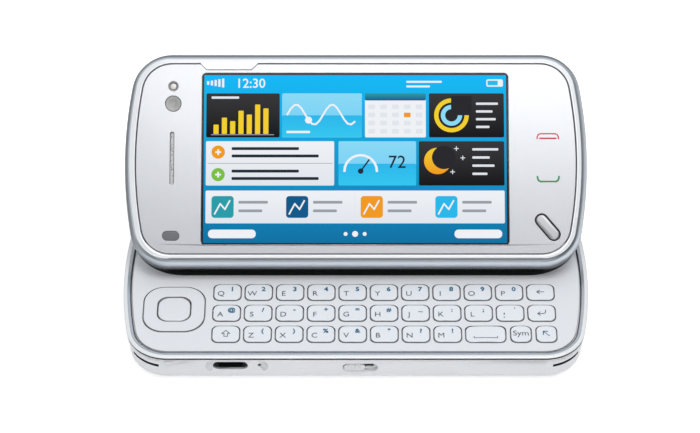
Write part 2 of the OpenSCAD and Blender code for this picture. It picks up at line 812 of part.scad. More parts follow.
module slide_carriage() {
    slot_deep = bar_in + tongue_w;
    color(steel_tone) translate([0, pivot_y, 0]) {
        both() difference() {
            union() {
                block([bar_in, carriage_front, plate_z], [bar_out, carriage_back, plate_z + plate_t]);
                for (s = [-1, 1]) carriage_ear(stay_x + s * (ear_in + ear_t / 2));
                // barrel and its web
                block([barrel_x - barrel_w / 2, 0, plate_z],
                      [barrel_x + barrel_w / 2, 2, plate_z + plate_t + 0.3]);
                translate([0, 0, pivot_z])
                    rod_x(barrel_x - barrel_w / 2, barrel_x + barrel_w / 2, barrel_r);
            }
            // groove for the inner plate's tongue
            block([bar_in - over, carriage_bar, tongue_z - tongue_t / 2 - run_gap],
                  [slot_deep + 0.15, carriage_back + over, tongue_z + tongue_t / 2 + run_gap]);
            translate([0, 0, pivot_z]) rod_x(0, bar_out, hinge_pin_r);
        }
        block([-bar_in - 0.5, carriage_front, plate_z], [bar_in + 0.5, carriage_bar, plate_z + plate_t]);
    }
}

// ear with the long hole in which the stay arm's lower pin runs
module carriage_ear(x) {
    difference() {
        block([x - ear_t / 2, ears_front, plate_z + plate_t - 0.2],
              [x + ear_t / 2, carriage_back, pivot_z + stay_t / 2]);
        long_hole(x);
    }
}

module long_hole(x) {
    r = stay_pin_r + run_gap;
    translate([x - ear_t, 0, pivot_z]) {
        translate([0, stay_back_open, 0]) rod_x(0, 2 * ear_t, r);
        translate([0, 2 * stay_len, 0]) rod_x(0, 2 * ear_t, r);
        block([0, stay_back_open, -r], [2 * ear_t, 2 * stay_len, r]);
    }
}

module hinge_pins() {
    color(chrome_tone) both() translate([0, pivot_y, pivot_z])
        rod_x(barrel_x - barrel_w / 2 - 1.6, barrel_x + barrel_w / 2 + 1.6, hinge_pin_r);
}

module stay_arms() {
    color(chrome_tone) both() translate([stay_x, pivot_y, pivot_z]) rotate([lid_tilt, 0, 0])
        translate([0, stay_len, 0]) rotate([-2 * lid_tilt, 0, 0]) {
            rod_x(-stay_w / 2, stay_w / 2, stay_t / 2);
            translate([0, stay_len, 0]) rod_x(-stay_w / 2, stay_w / 2, stay_t / 2);
            block([-stay_w / 2, 0, -stay_t / 2], [stay_w / 2, stay_len, stay_t / 2]);
            rod_x(-stay_w / 2 - 1, stay_w / 2 + 1, stay_pin_r);
            translate([0, stay_len, 0]) rod_x(-stay_w / 2 - 1, stay_w / 2 + 1, stay_pin_r);
        }
}

// ---- lid, drawn closed and moved by on_lid ----
module lid_bezel() {
    r = rim_w - rim_land;
    layers = concat([[0, seam_z]],
                    [for (a = [0:10:90]) [r * (1 - cos(a)), top_z - r + r * sin(a)]]);
    color(chrome_tone) on_lid() {
        difference() {
            slab(layers);
            raise(seam_z - over, face_seat_z) outline(lid_wall);
            raise(face_seat_z - thin, top_z) outline(rim_w + face_gap + face_lip);
            raise(face_z, top_z + over) outline(rim_w);
            translate([menu_x, menu_y, 0]) rotate(menu_slant) raise(face_seat_z - over, face_z + thin)
                pill(menu_len + 2 * menu_ledge + 0.4, menu_w + 2 * menu_ledge + 0.4);
            hinge_pockets();
        }
        // tab at the top of the frame
        raise(face_seat_z, top_z) tab_shape(0);
    }
}

module tab_shape(grow) {
    y1 = half_d - rim_w;
    w = tab_w / 2 + grow;
    translate([tab_x, 0]) polygon([[-w, y1 + 0.4], [-w, y1], [-w + tab_d, y1 - tab_d - grow],
                                   [w - tab_d, y1 - tab_d - grow], [w, y1], [w, y1 + 0.4]]);
}

module face_plate() {
    color(pearl) on_lid() difference() {
        raise(face_z, top_z) outline(rim_w + face_gap);
        raise(face_z - over, top_z + over) {
            tab_shape(face_gap);
            translate([screen_x, screen_y])
                rounded(glass_w, glass_d, 1.2);
            translate([menu_x, menu_y]) rotate(menu_slant)
                pill(menu_len + 2 * key_gap, menu_w + 2 * key_gap);
            translate([sensor_x, front_cam_y]) circle(front_cam_r + 0.05);
            translate([sensor_x, light_y]) circle(light_r + 0.05);
            translate([sensor_x - 0.2, ear_y]) rotate(90) pill(ear_len, ear_w);
            translate([sensor_x - 0.3, near_y]) pill(near_len, near_w);
        }
    }
}

module display() {
    color(dark) on_lid() translate([screen_x, screen_y, 0]) {
        raise(face_z - 0.05 - module_t, face_z - 0.05) rounded(module_w, module_d, 1);
        raise(face_z - 0.06, top_z - 0.05)
            rounded(glass_w - 2 * glass_gap, glass_d - 2 * glass_gap, 1.1);
    }
}

module lid_back_cover() {
    r = hinge_edge_r;
    layers = [for (a = [90:-15:0]) [r * (1 - cos(a)), lid_z + r * (1 - sin(a))]];
    color(white_shell) on_lid() {
        difference() {
            union() {
                difference() {
                    slab(layers);
                    raise(lid_floor_z, top_z) outline(lid_wall);
                }
                both() {
                    pocket_housing();
                    barrel_cheeks();
                    for (s = [-1, 1]) translate([36, s * 18, bay_roof_z])
                        cylinder(h = face_z - 0.05 - module_t - bay_roof_z, r = 1.6);
                }
            }
            // bay for the sliding plates
            block([-bar_out - 0.5, pivot_closed_y - 0.9, lid_z - over],
                  [bar_out + 0.5, sled_back - sled_travel + 0.5, bay_roof_z]);
            hinge_pockets();
            both() translate([0, pivot_closed_y, pivot_z])
                rod_x(barrel_x - barrel_w / 2 - 2.1, barrel_x + barrel_w / 2 + 2.1, hinge_pin_r + run_gap);
            both() stay_pocket();
        }
    }
}

// room for the carriage's barrels, open below
module hinge_pockets() {
    both() translate([0, pivot_closed_y, pivot_z]) {
        x0 = barrel_x - barrel_w / 2 - 0.15;
        x1 = barrel_x + barrel_w / 2 + 0.15;
        rod_x(x0, x1, barrel_r + 0.2);
        block([x0, -1.5, -3], [x1, 3, 0]);
    }
}

module barrel_cheeks() {
    translate([0, pivot_closed_y, pivot_z]) for (s = [-1, 1])
        translate([barrel_x + s * (barrel_w / 2 + 1.1), 0, 0]) difference() {
            block([-0.9, -0.89, bay_roof_z - pivot_z], [0.9, 1.5, 1.3]);
            rod_x(-over, over, hinge_pin_r + run_gap);
        }
}

module pocket_housing() {
    translate([stay_x, pivot_closed_y, pivot_z])
        block([-stay_w / 2 - pocket_wall, pocket_front - 0.7, bay_roof_z - pivot_z],
              [stay_w / 2 + pocket_wall, pocket_back + 0.5, pocket_roof + pocket_skin]);
}

module stay_pocket() {
    w = stay_w / 2 + 0.15;
    translate([stay_x, pivot_closed_y, pivot_z]) {
        block([-w, pocket_front, -3], [w, pocket_back, pocket_roof]);
        wide = ear_in + ear_t + 0.2;
        block([-wide, ears_front - 0.5, -3], [wide, pocket_back, pocket_roof]);
        translate([0, stay_len, 0]) rod_x(-stay_w / 2 - 1.2, stay_w / 2 + 1.2, stay_pin_r + run_gap);
    }
}

module lid_electronics() {
    color(board_green) on_lid() {
        block([sensor_x - sensor_board[0], -lid_board_y, board_z],
              [sensor_x + sensor_board[1], lid_board_y, board_z + board_t]);
        block([menu_x - menu_board[0], -lid_board_y, board_z],
              [menu_x + menu_board[1], menu_board[2], board_z + board_t]);
    }
    color(dark) on_lid() {
        z = board_z + board_t - thin;
        translate([sensor_x, front_cam_y, z]) cylinder(h = top_z - 0.1 - z, r = front_cam_r);
        translate([sensor_x, light_y, z]) cylinder(h = top_z - 0.05 - z, r = light_r);
        translate([sensor_x - 0.2, ear_y, 0]) raise(z, face_z - 0.02) rounded(3.4, ear_len + 1, 0.8);
        translate([sensor_x - 0.3, near_y, 0]) raise(z, top_z - 0.05) pill(near_len - 0.1, near_w - 0.1);
        translate([menu_x, menu_y, z]) cylinder(h = menu_low - menu_stroke - 0.05 - z, r = 1.5);
    }
}

module menu_key() {
    color(chrome_tone) on_lid() translate([menu_x, menu_y, 0]) rotate(menu_slant) {
        raise(menu_low + menu_foot / 2, top_z + menu_up) pill(menu_len, menu_w);
        raise(menu_low, menu_low + menu_foot) pill(menu_len + 2 * menu_ledge, menu_w + 2 * menu_ledge);
    }
}

// ---- edge keys ----
module volume_key() {
    color(chrome_tone) translate([volume_x, 0, edge_z]) {
        rotate([-90, 0, 0]) raise(back_y - volume_deep, back_y + edge_key_up)
            edge_key_shape(volume_len, 0);
        // round boss on which the key rocks
        translate([0, back_y - volume_deep, -edge_key_h / 2])
            cylinder(h = edge_key_h, r = volume_boss_r);
    }
}

module shutter_key() {
    color(chrome_tone) translate([shutter_x, 0, edge_z]) {
        rotate([-90, 0, 0]) raise(back_y - edge_key_deep, back_y + edge_key_up)
            edge_key_shape(shutter_len, 0);
    }
}

module power_key() {
    color(chrome_tone) translate([0, power_y, edge_z]) {
        rotate([90, 0, -90]) raise(left_x - edge_key_deep, left_x + edge_key_up)
            edge_key_shape(power_len, 0);
    }
}

module lock_switch() {
    x = lock_x - lock_slot_w / 2 + lock_w / 2 + 0.25;
    color(pearl) translate([x, 0, lock_z]) rotate([90, 0, 0]) {
        raise(half_d - wall_in - lock_deep + 0.05, half_d - wall_in + 0.15) difference() {
            pill(lock_w, lock_slot_h - 0.4);
        }
        raise(half_d - 3.4, half_d - wall_in - lock_deep + 0.1) circle(0.5);
    }
}

// ---- underside ----
module lens_cover() {
    half = lens_cover_d / 2;
    x0 = bay_x0 + 0.1;
    color(chrome_tone) {
        block([x0, -half, 0.1], [x0 + lens_cover_w, half, bay_deep - run_gap]);
        block([x0, -half - bay_groove + 0.1, 0.35 + run_gap],
              [x0 + lens_cover_w, half + bay_groove - 0.1, bay_deep - run_gap]);
    }
}

module battery_cover() {
    color(white_shell) raise(0.1, 0.1 + cover_t) cover_shape(0);
}

base_housing();
deck_plate();
base_trim();
battery();
main_board();
keymat();
ports_and_speakers();
rear_camera();
case_screws();
keycap_q();
keycap_w();
keycap_e();
keycap_r();
keycap_t();
keycap_y();
keycap_u();
keycap_i();
keycap_o();
keycap_p();
keycap_backspace();
keycap_a();
keycap_s();
keycap_d();
keycap_f();
keycap_g();
keycap_h();
keycap_j();
keycap_k();
keycap_l();
keycap_dot();
keycap_enter();
keycap_shift();
keycap_z();
keycap_x();
keycap_c();
keycap_v();
keycap_b();
keycap_n();
keycap_m();
keycap_space();
keycap_sym();
keycap_ctrl();
dpad_ring();
select_key();
slide_sled();
slide_carriage();
hinge_pins();
stay_arms();
lid_bezel();
face_plate();
display();
lid_back_cover();
lid_electronics();
menu_key();
volume_key();
shutter_key();
power_key();
lock_switch();
lens_cover();
battery_cover();
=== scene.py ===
import json
import math

import bmesh
import bpy
from mathutils import Matrix, Vector

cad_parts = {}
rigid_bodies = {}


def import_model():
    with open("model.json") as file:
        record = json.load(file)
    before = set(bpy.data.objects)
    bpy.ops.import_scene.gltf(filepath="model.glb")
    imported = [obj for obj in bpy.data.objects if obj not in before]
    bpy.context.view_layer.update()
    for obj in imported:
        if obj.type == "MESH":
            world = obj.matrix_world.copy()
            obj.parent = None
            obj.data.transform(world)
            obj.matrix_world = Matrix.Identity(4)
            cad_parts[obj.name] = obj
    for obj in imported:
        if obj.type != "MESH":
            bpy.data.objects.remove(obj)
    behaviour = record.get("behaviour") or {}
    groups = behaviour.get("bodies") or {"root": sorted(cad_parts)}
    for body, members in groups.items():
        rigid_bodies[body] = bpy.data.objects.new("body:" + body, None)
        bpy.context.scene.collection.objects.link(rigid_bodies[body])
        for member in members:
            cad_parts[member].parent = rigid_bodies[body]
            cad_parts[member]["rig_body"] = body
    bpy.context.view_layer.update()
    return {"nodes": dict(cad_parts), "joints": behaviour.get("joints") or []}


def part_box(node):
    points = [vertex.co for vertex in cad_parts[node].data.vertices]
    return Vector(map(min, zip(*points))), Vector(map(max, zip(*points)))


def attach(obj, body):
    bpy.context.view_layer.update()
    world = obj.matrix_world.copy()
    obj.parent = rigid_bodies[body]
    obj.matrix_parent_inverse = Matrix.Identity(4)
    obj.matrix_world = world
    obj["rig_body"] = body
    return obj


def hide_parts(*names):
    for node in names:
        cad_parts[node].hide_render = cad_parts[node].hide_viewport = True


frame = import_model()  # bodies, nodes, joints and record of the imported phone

bl_info = {
    "name": "Slider phone",
    "version": (1, 0, 0),
    "blender": (4, 5, 0),
    "location": "View3D > Sidebar > Slider phone",
    "description": "Dresses the CAD frame of a slider phone",
    "category": "Object",
}

MM = 0.001
QUARTER = math.pi / 2
JOINTS = {j["name"]: j for j in frame["joints"]}


def node_box(node):
    """Lowest and highest corner of a CAD node, in millimetres."""
    low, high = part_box(node)
    return low / MM, high / MM


def node_middle(node):
    """Middle of a CAD node's box, in millimetres."""
    low, high = node_box(node)
    return (low + high) / 2


def node_size(node):
    """Size of a CAD node's box, in millimetres."""
    low, high = node_box(node)
    return high - low


# ---- sizes read from the frame, in millimetres ----
TILT = -math.radians(JOINTS["lid_tilt"]["range_deg"][0])
PIVOT = Vector(JOINTS["lid_tilt"]["pos_m"]) / MM
PIVOT_CLOSED = PIVOT.y + JOINTS["lid_slide"]["range_m"][0] / MM
HALF_W, HALF_D, BASE_TOP = node_box("base_trim")[1]
TRIM_FOOT = node_box("base_trim")[0].z
DECK_IN = HALF_D - node_box("deck_plate")[1].y
DECK_FOOT = node_box("deck_plate")[0].z
KEY_TOP = node_box("keycap_g")[1].z
LID_Z = PIVOT.z - (PIVOT_CLOSED + HALF_D)
# moves what is drawn on the closed lid to the open, tilted lid
LID = (Matrix.Translation(PIVOT) @ Matrix.Rotation(TILT, 4, "X")
       @ Matrix.Translation((0, -PIVOT_CLOSED, -PIVOT.z)))
HERE = Matrix.Identity(4)


def length(name, description, default, least, most):
    """A size in metres that the panel can change."""
    return bpy.props.FloatProperty(name=name, description=description, default=default, min=least,
                                   max=most, subtype="DISTANCE", unit="LENGTH")


def angle(name, description, degrees, least, most):
    """An angle that the panel can change."""
    return bpy.props.FloatProperty(name=name, description=description,
                                   default=math.radians(degrees), min=least, max=most,
                                   subtype="ANGLE", unit="ROTATION")


def colour(name, description, default):
    """A colour that the panel can change."""
    return bpy.props.FloatVectorProperty(name=name, description=description, default=default,
                                         min=0, max=1, subtype="COLOR")


class PhoneSizes(bpy.types.PropertyGroup):
    """Sizes of the dressed phone that a user would change"""

    corner_radius: length("Corner radius", "Radius of the corners of both halves",
                          0.0104, 0.009, 0.014)
    end_radius: length("End radius", "Radius of the bowed ends of both halves", 0.108, 0.07, 0.16)
    rim_width: length("Rim width", "Inset of the face plate from the lid's edge",
                      0.0029, 0.002, 0.004)
    front_rim: length("Front rim", "How much wider the rim is along the front edge",
                      0.0006, 0, 0.001)
    key_gap: length("Key gap", "Gap around each key", 0.00026, 0.0001, 0.0004)
    key_edge: length("Key edge", "Rounding of a key's upper edge", 0.00022, 0.0001, 0.0004)
    picture_width: length("Picture width", "Width of the lit picture", 0.0765, 0.06, 0.08)
    picture_height: length("Picture height", "Height of the lit picture", 0.0432, 0.03, 0.046)


class PhoneColours(bpy.types.PropertyGroup):
    """Colours of the phone's finishes"""

    pearl: colour("Pearl", "Face plate and keyboard deck", (0.74, 0.75, 0.78))
    keycap: colour("Key caps", "Key caps", (0.80, 0.83, 0.87))
    shell: colour("Shell", "Side wall and underside", (0.82, 0.83, 0.85))
    rim: colour("Bright rim", "Bright rim of the base", (0.88, 0.89, 0.90))
    band: colour("White band", "White band of the lid frame", (0.86, 0.87, 0.89))
    chrome: colour("Smoky chrome", "Blue-grey metal bands", (0.50, 0.54, 0.59))
    legend: colour("Legend", "Letters on the keys", (0.07, 0.073, 0.078))
    second_legend: colour("Second legend", "Figures and signs on the keys", (0.010, 0.13, 0.24))


class PhoneStudio(bpy.types.PropertyGroup):
    """Camera and lamps"""

    camera_height: angle("Camera height", "Angle of the camera above the floor", 44.80, 0, QUARTER)
    camera_distance: length("Camera distance", "Distance from the camera to the phone",
                            0.7446, 0.3, 2.0)
    camera_angle: angle("Camera angle", "Width of the view", 13.593, 0.05, 1.0)
    lamp_level: bpy.props.FloatProperty(
        name="Lamp level", description="Strength of all lamps together",
        default=1.0, min=0.1, max=3.0, subtype="FACTOR")


def sizes():
    return bpy.context.scene.phone_sizes


def colours():
    return bpy.context.scene.phone_colours


# ---- shader tools ----
class Sock:
    """A node socket on which Python arithmetic adds Math nodes."""

    def __init__(self, fin, out):
        self.fin, self.out = fin, out

    def maths(self, op, other, flip=False):
        pair = (other, self) if flip else (self, other)
        return self.fin.node("ShaderNodeMath", {"operation": op}, {0: pair[0], 1: pair[1]})

    def __add__(self, other):
        return self.maths("ADD", other)

    def __radd__(self, other):
        return self.maths("ADD", other, True)

    def __sub__(self, other):
        return self.maths("SUBTRACT", other)

    def __rsub__(self, other):
        return self.maths("SUBTRACT", other, True)

    def __mul__(self, other):
        return self.maths("MULTIPLY", other)


class Tree:
    """The nodes of a material or of the world."""

    def __init__(self, tree):
        self.tree = tree

    def first(self, kind):
        return next(n for n in self.tree.nodes if n.type == kind)

    def node(self, kind, settings=None, inputs=None, out=0):
        made = self.tree.nodes.new(kind)
        for key, value in (settings or {}).items():
            if key == "stops":
                self.set_stops(made.color_ramp, value)
            else:
                setattr(made, key, value)
        for key, value in (inputs or {}).items():
            self.feed(made.inputs[key], value)
        return Sock(self, made.outputs[out])

    def set_stops(self, ramp, stops):
        while len(ramp.elements) < len(stops):
            ramp.elements.new(0.5)
        for element, (place, value) in zip(ramp.elements, stops):
            element.position, element.color = place, (value, value, value, 1)

    def feed(self, socket, value):
        if isinstance(value, Sock):
            self.tree.links.new(value.out, socket)
        elif isinstance(value, tuple) and len(value) == 3 and len(socket.default_value) == 4:
            socket.default_value = (*value, 1)
        else:
            socket.default_value = value

    def ramp(self, factor, *stops):
        return self.node("ShaderNodeValToRGB", {"stops": stops}, {"Fac": factor})

    def mix(self, factor, first, second):
        return self.node("ShaderNodeMix", {"data_type": "RGBA"},
                         {"Factor": factor, 6: first, 7: second}, out=2)


class Finish(Tree):
    """A procedural material around one Principled shader."""

    def __init__(self, name, **fixed):
        self.mat = bpy.data.materials.new(name)
        self.mat.use_nodes = True
        super().__init__(self.mat.node_tree)
        self.shader = self.first("BSDF_PRINCIPLED")
        for key, value in fixed.items():
            self.set(key.replace("_", " "), value)

    def set(self, key, value):
        self.feed(self.shader.inputs[key], value)

    def place(self, stretch=(1, 1, 1)):
        coords = self.node("ShaderNodeTexCoord", out=3)
        return self.node("ShaderNodeMapping", None, {"Vector": coords, "Scale": stretch})

    def noise(self, scale, detail=2.0, stretch=(1, 1, 1)):
        return self.node("ShaderNodeTexNoise", None,
                         {"Vector": self.place(stretch), "Scale": scale, "Detail": detail})

    def bump(self, height, strength, distance):
        self.set("Normal", self.node("ShaderNodeBump", None, {
            "Strength": strength, "Distance": distance, "Height": height}))


def shade(color, factor):
    return tuple(min(1.0, c * factor) for c in color)


def pearl_paint(name, color, rough=0.34, metal=0.14, flake=0.05):
    """Pearl lacquer: fine flakes under a clear coat, with a slow cloud of tone."""
    fin = Finish(name, Coat_Weight=0.15, Coat_Roughness=0.22)
    flakes = fin.noise(6500, 1.0)
    cloud = fin.noise(45, 2.0)
    fin.set("Base Color", fin.mix(flakes, shade(color, 1 - flake), shade(color, 1 + flake)))
    fin.set("Metallic", metal + (flakes - 0.5) * 0.12)
    fin.set("Roughness", rough + (cloud - 0.5) * 0.06 + (flakes - 0.5) * 0.06)
    fin.bump(flakes, 0.04, 0.00002)
    return fin.mat


def bright_metal(name, color, rough):
    """Polished metal with faint smudges and hairlines."""
    fin = Finish(name, Metallic=1.0)
    smudge = fin.noise(160, 3.0)
    hair = fin.noise(2600, 1.0, (0.06, 1, 1))
    fin.set("Base Color", fin.mix(smudge, shade(color, 0.95), shade(color, 1.04)))
    fin.set("Roughness", rough + (smudge - 0.5) * 0.08)
    fin.bump(hair, 0.03, 0.00002)
    return fin.mat


def chrome_with_painted_reflections(name, chrome, band):
    """Lid frame: smoky chrome whose painted reflections darken where it rolls over, then a white
    band.
    """
    fin = Finish(name, Coat_Weight=0.2, Coat_Roughness=0.1)
    start, span = ROLL_SPAN
    roll = fin.node("ShaderNodeAttribute", {"attribute_name": "roll"}, out=2)
    place = (roll + start) * (1 / span)
    smudge = fin.noise(60, 1.0)
    # two ramps paint the chrome's reflections along the roll, one for the front and one for the
    # back
    front, back = (fin.ramp(place, *[((spot + start) / span, value) for spot, value in tones])
                   for tones in (FRONT_PAINTED_REFLECTION, BACK_PAINTED_REFLECTION))
    facing = fin.node("ShaderNodeAttribute", {"attribute_name": "facing"}, out=2)
    # painted reflection brightness: the front and back ramps mixed by which way the edge faces
    light = back + (front - back) * facing
    white = fin.ramp(place, (0.850, 0.0), (0.862, 1.0))
    metal = fin.mix(light, shade(chrome, 0.03), shade(chrome, 1.6))
    fin.set("Base Color", fin.mix(white, metal, band))
    fin.set("Metallic", 0.4 - white * 0.3)
    fin.set("Roughness", 0.26 + (smudge - 0.5) * 0.06)
    return fin.mat


def brushed_steel(name, color, along=(0.02, 1, 1)):
    fin = Finish(name, Metallic=1.0)
    grain = fin.noise(5200, 3.0, along)
    fin.set("Base Color", fin.mix(grain, shade(color, 0.80), shade(color, 1.12)))
    fin.set("Roughness", 0.26 + grain * 0.18)
    fin.bump(grain, 0.12, 0.00004)
    return fin.mat


def moulded(name, color, rough, grain=0.06, coat=0.0):
    """Moulded plastic with a fine eroded grain."""
    fin = Finish(name, Coat_Weight=coat, Coat_Roughness=0.08)
    speck = fin.noise(3800, 2.0)
    cloud = fin.noise(70, 2.0)
    fin.set("Base Color", fin.mix(cloud, shade(color, 0.97), shade(color, 1.03)))
    fin.set("Roughness", rough + (speck - 0.5) * 0.10)
    fin.bump(speck, grain, 0.00003)
    return fin.mat


def printed(name, color, rough=0.45):
    fin = Finish(name)
    worn = fin.noise(900, 3.0)
    fin.set("Base Color", fin.mix(worn, shade(color, 0.92), shade(color, 1.08)))
    fin.set("Roughness", rough + (worn - 0.5) * 0.1)
    return fin.mat


def lit_picture(name):
    """The picture on the screen: colours from the mesh, lit from behind."""
    fin = Finish(name, Base_Color=(0.004, 0.004, 0.005), Roughness=0.25, Emission_Strength=0.96,
                 Specular_IOR_Level=0.02)
    tone = fin.node("ShaderNodeVertexColor", {"layer_name": "tone"})
    dots = fin.noise(9000, 0.0)
    fin.set("Emission Color", fin.mix(dots * 0.06, tone, (0.02, 0.02, 0.03)))
    return fin.mat


def dark_glass(name, color, rough=0.05):
    fin = Finish(name, Specular_IOR_Level=0.2)
    smear = fin.noise(60, 3.0)
    fin.set("Base Color", fin.mix(smear, shade(color, 0.9), shade(color, 1.15)))
    fin.set("Roughness", rough + smear * 0.1)
    return fin.mat


def circuit(name, color):
    """Circuit board: lacquer over copper tracks."""
    fin = Finish(name, Coat_Weight=0.5)
    cells = fin.node("ShaderNodeTexVoronoi", {"distance": "CHEBYCHEV"},
                     {"Vector": fin.place((1, 1, 0.2)), "Scale": 420.0})
    tracks = fin.ramp(cells, (0.30, 0.0), (0.36, 1.0))
    fin.set("Base Color", fin.mix(tracks, color, shade(color, 1.7)))
    fin.set("Roughness", 0.35 + (1 - tracks) * 0.15)
    fin.bump(tracks, 0.2, 0.00005)
    return fin.mat


def woven_mesh(name, color, scale=2600):
    """Fine acoustic mesh."""
    fin = Finish(name, Metallic=0.3)
    holes = fin.node("ShaderNodeTexVoronoi", None, {"Vector": fin.place(), "Scale": scale})
    open_part = fin.ramp(holes, (0.22, 0.0), (0.34, 1.0))
    fin.set("Base Color", fin.mix(open_part, (0.005, 0.005, 0.006), color))
    fin.set("Roughness", 0.35 + (1 - open_part) * 0.4)
    fin.bump(open_part, 0.5, 0.00006)
    return fin.mat


# how much wider the lid's white band is, a shift that also moves where the painted reflections
# fall: everywhere, to the back, to the right, at both ends
BAND = (0.16, 0.44, -0.2, 0.7)
ROLL_SPAN = (4.4, 7.4)  # how far the lid frame's roll reaches below nought, and its length
# painted reflections, light and dark along that roll, at the front and at the back: place in
# millimetres, brightness
FRONT_PAINTED_REFLECTION = ((-4.4, 0.01), (-3.2, 0.02), (-2.5, 0.04), (-1.8, 0.15), (-1.25, 0.36),
               (-0.76, 0.64), (-0.3, 0.86), (0.1, 0.84), (0.49, 0.92), (0.85, 0.66), (1.18, 0.34),
               (1.5, 0.17))
BACK_PAINTED_REFLECTION = ((-4.4, 0.01), (-1.5, 0.02), (-0.1, 0.11), (0.55, 0.27), (1.1, 0.44), (1.5, 0.78))
# finishes: maker, name, colour or share of a panel colour, then the maker's own settings
RECIPES = {
    "face": (pearl_paint, "face lacquer", ("pearl", 0.74), 0.19, 0.27),
    # chrome whose light and dark along the roll are painted reflections
    "rolled": (chrome_with_painted_reflections, "rolled rim", ("chrome", 1), ("band", 1)),
    # painted shade for gaps, bevels and the walls of openings
    "groove": (moulded, "shadow groove", (0.24, 0.245, 0.255), 0.5),
    "ring": (moulded, "sensor ring", (0.30, 0.30, 0.30), 0.35),
    "deck": (pearl_paint, "deck lacquer", ("pearl", 1.06), 0.5, 0.06),
    "keycap": (moulded, "key cap plastic", ("keycap", 1), 0.32, 0.03, 0.3),
    "shell": (pearl_paint, "shell lacquer", ("shell", 1), 0.30, 0.1, 0.03),
    "rim": (pearl_paint, "silver rim", ("rim", 0.94), 0.42, 0.12, 0.02),
    # smoky tone painting the darker reflection on the trim's inner slope
    "chrome": (pearl_paint, "smoky rim", ("chrome", 1.1), 0.24, 0.6, 0.02),
    "satin": (bright_metal, "satin metal", (0.40, 0.41, 0.43), 0.3),
    "key_metal": (pearl_paint, "key metal", (0.36, 0.36, 0.37), 0.3, 0.75, 0.02),
    "camera_ring": (moulded, "camera window", (0.36, 0.355, 0.35), 0.35, 0.04, 0.2),
    "line": (moulded, "shadow line", (0.03, 0.032, 0.036), 0.5),
    "legend": (printed, "grey legend", ("legend", 1)),
    "second_legend": (printed, "blue legend", ("second_legend", 1)),
    "red": (printed, "red mark", (0.55, 0.03, 0.035)),
    "green": (printed, "green mark", (0.01, 0.24, 0.06)),
    "steel": (brushed_steel, "brushed steel", (0.52, 0.53, 0.55)),
    "pin": (bright_metal, "pin steel", (0.60, 0.61, 0.63), 0.2),
    "gold": (bright_metal, "gold contacts", (0.83, 0.60, 0.25), 0.25),
    # near-black field that paints the shadow under the lid's front edge
    "field": (moulded, "slide field", (0.020, 0.021, 0.023), 0.42, 0.1),
    "black": (moulded, "black plastic", (0.012, 0.012, 0.014), 0.42, 0.1),
    "glass": (dark_glass, "dark glass", (0.010, 0.012, 0.016)),
    "lens": (dark_glass, "lens glass", (0.012, 0.018, 0.045), 0.02),
    "window": (dark_glass, "smoked window", (0.15, 0.155, 0.165), 0.2),
    "picture": (lit_picture, "lit picture"),
    "mesh": (woven_mesh, "acoustic mesh", (0.50, 0.50, 0.50)),
    # painted shade for the gap round each key
    "gap": (moulded, "key gap", (0.42, 0.425, 0.44), 0.5),
    "board": (circuit, "circuit board", (0.01, 0.10, 0.045)),
    "rubber": (moulded, "key mat rubber", (0.42, 0.43, 0.45), 0.6),
    "wrap": (moulded, "battery wrap", (0.05, 0.06, 0.075), 0.3, 0.02, 0.4),
    "lamp": (moulded, "lamp lens", (0.78, 0.73, 0.66), 0.15, 0.02, 0.6),
}
MADE = {}


def finish_of(key):
    """The material of a finish, made when it is first asked for."""
    if key not in MADE:
        maker, name, *settings = RECIPES[key]
        MADE[key] = maker(name, *(
            shade(getattr(colours(), value[0]), value[1])
            if isinstance(value, tuple) and isinstance(value[0], str) else value
            for value in settings))
    return MADE[key]


# ---- mesh tools, in millimetres ----
STROKE_END = 0.7  # how far a line's parts reach over its corners, as a share of its width
STROKE_LIFT = 0.0006
CREASE = math.radians(40)  # edges sharper than this get a modelled bevel


def outline_arcs(inset):
    """The phone's outline, anticlockwise: centre, radius, first and last angle."""
    corner, end = sizes().corner_radius / MM, sizes().end_radius / MM
    cy, bow = HALF_D - corner, HALF_W - end
    cx = bow + math.sqrt((end - corner) ** 2 - cy ** 2)
    half = math.asin(cy / (end - corner))
    r, pi = corner - inset, math.pi
    return [(bow, 0, end - inset, -half, half), (cx, cy, r, half, QUARTER),
            (-cx, cy, r, QUARTER, pi - half), (-bow, 0, end - inset, pi - half, pi + half),
            (-cx, -cy, r, pi + half, 3 * QUARTER), (cx, -cy, r, 3 * QUARTER, 4 * QUARTER - half)]


def box_arcs(w, d, r, x=0, y=0):
    return [(x + sx * (w / 2 - r), y + sy * (d / 2 - r), r, a, a + QUARTER)
            for sx, sy, a in ((1, -1, -QUARTER), (1, 1, 0), (-1, 1, QUARTER), (-1, -1, math.pi))]


def circle_arcs(r, x=0, y=0):
    return [(x, y, r, a * QUARTER, (a + 1) * QUARTER) for a in range(4)]


def pill_arcs(length, w, x=0, y=0, turn=0.0):
    """A slot with round ends, turned about its middle."""
    reach = (length - w) / 2
    dx, dy = reach * math.cos(turn), reach * math.sin(turn)
    return [(x + s * dx, y + s * dy, w / 2, turn + a, turn + a + QUARTER)
            for s, a in ((1, -QUARTER), (1, 0), (-1, QUARTER), (-1, math.pi))]


def corner_arcs(points):
    """Sharp corners as arcs of no radius."""
    return [(x, y, 0, 0, 0) for x, y in points]


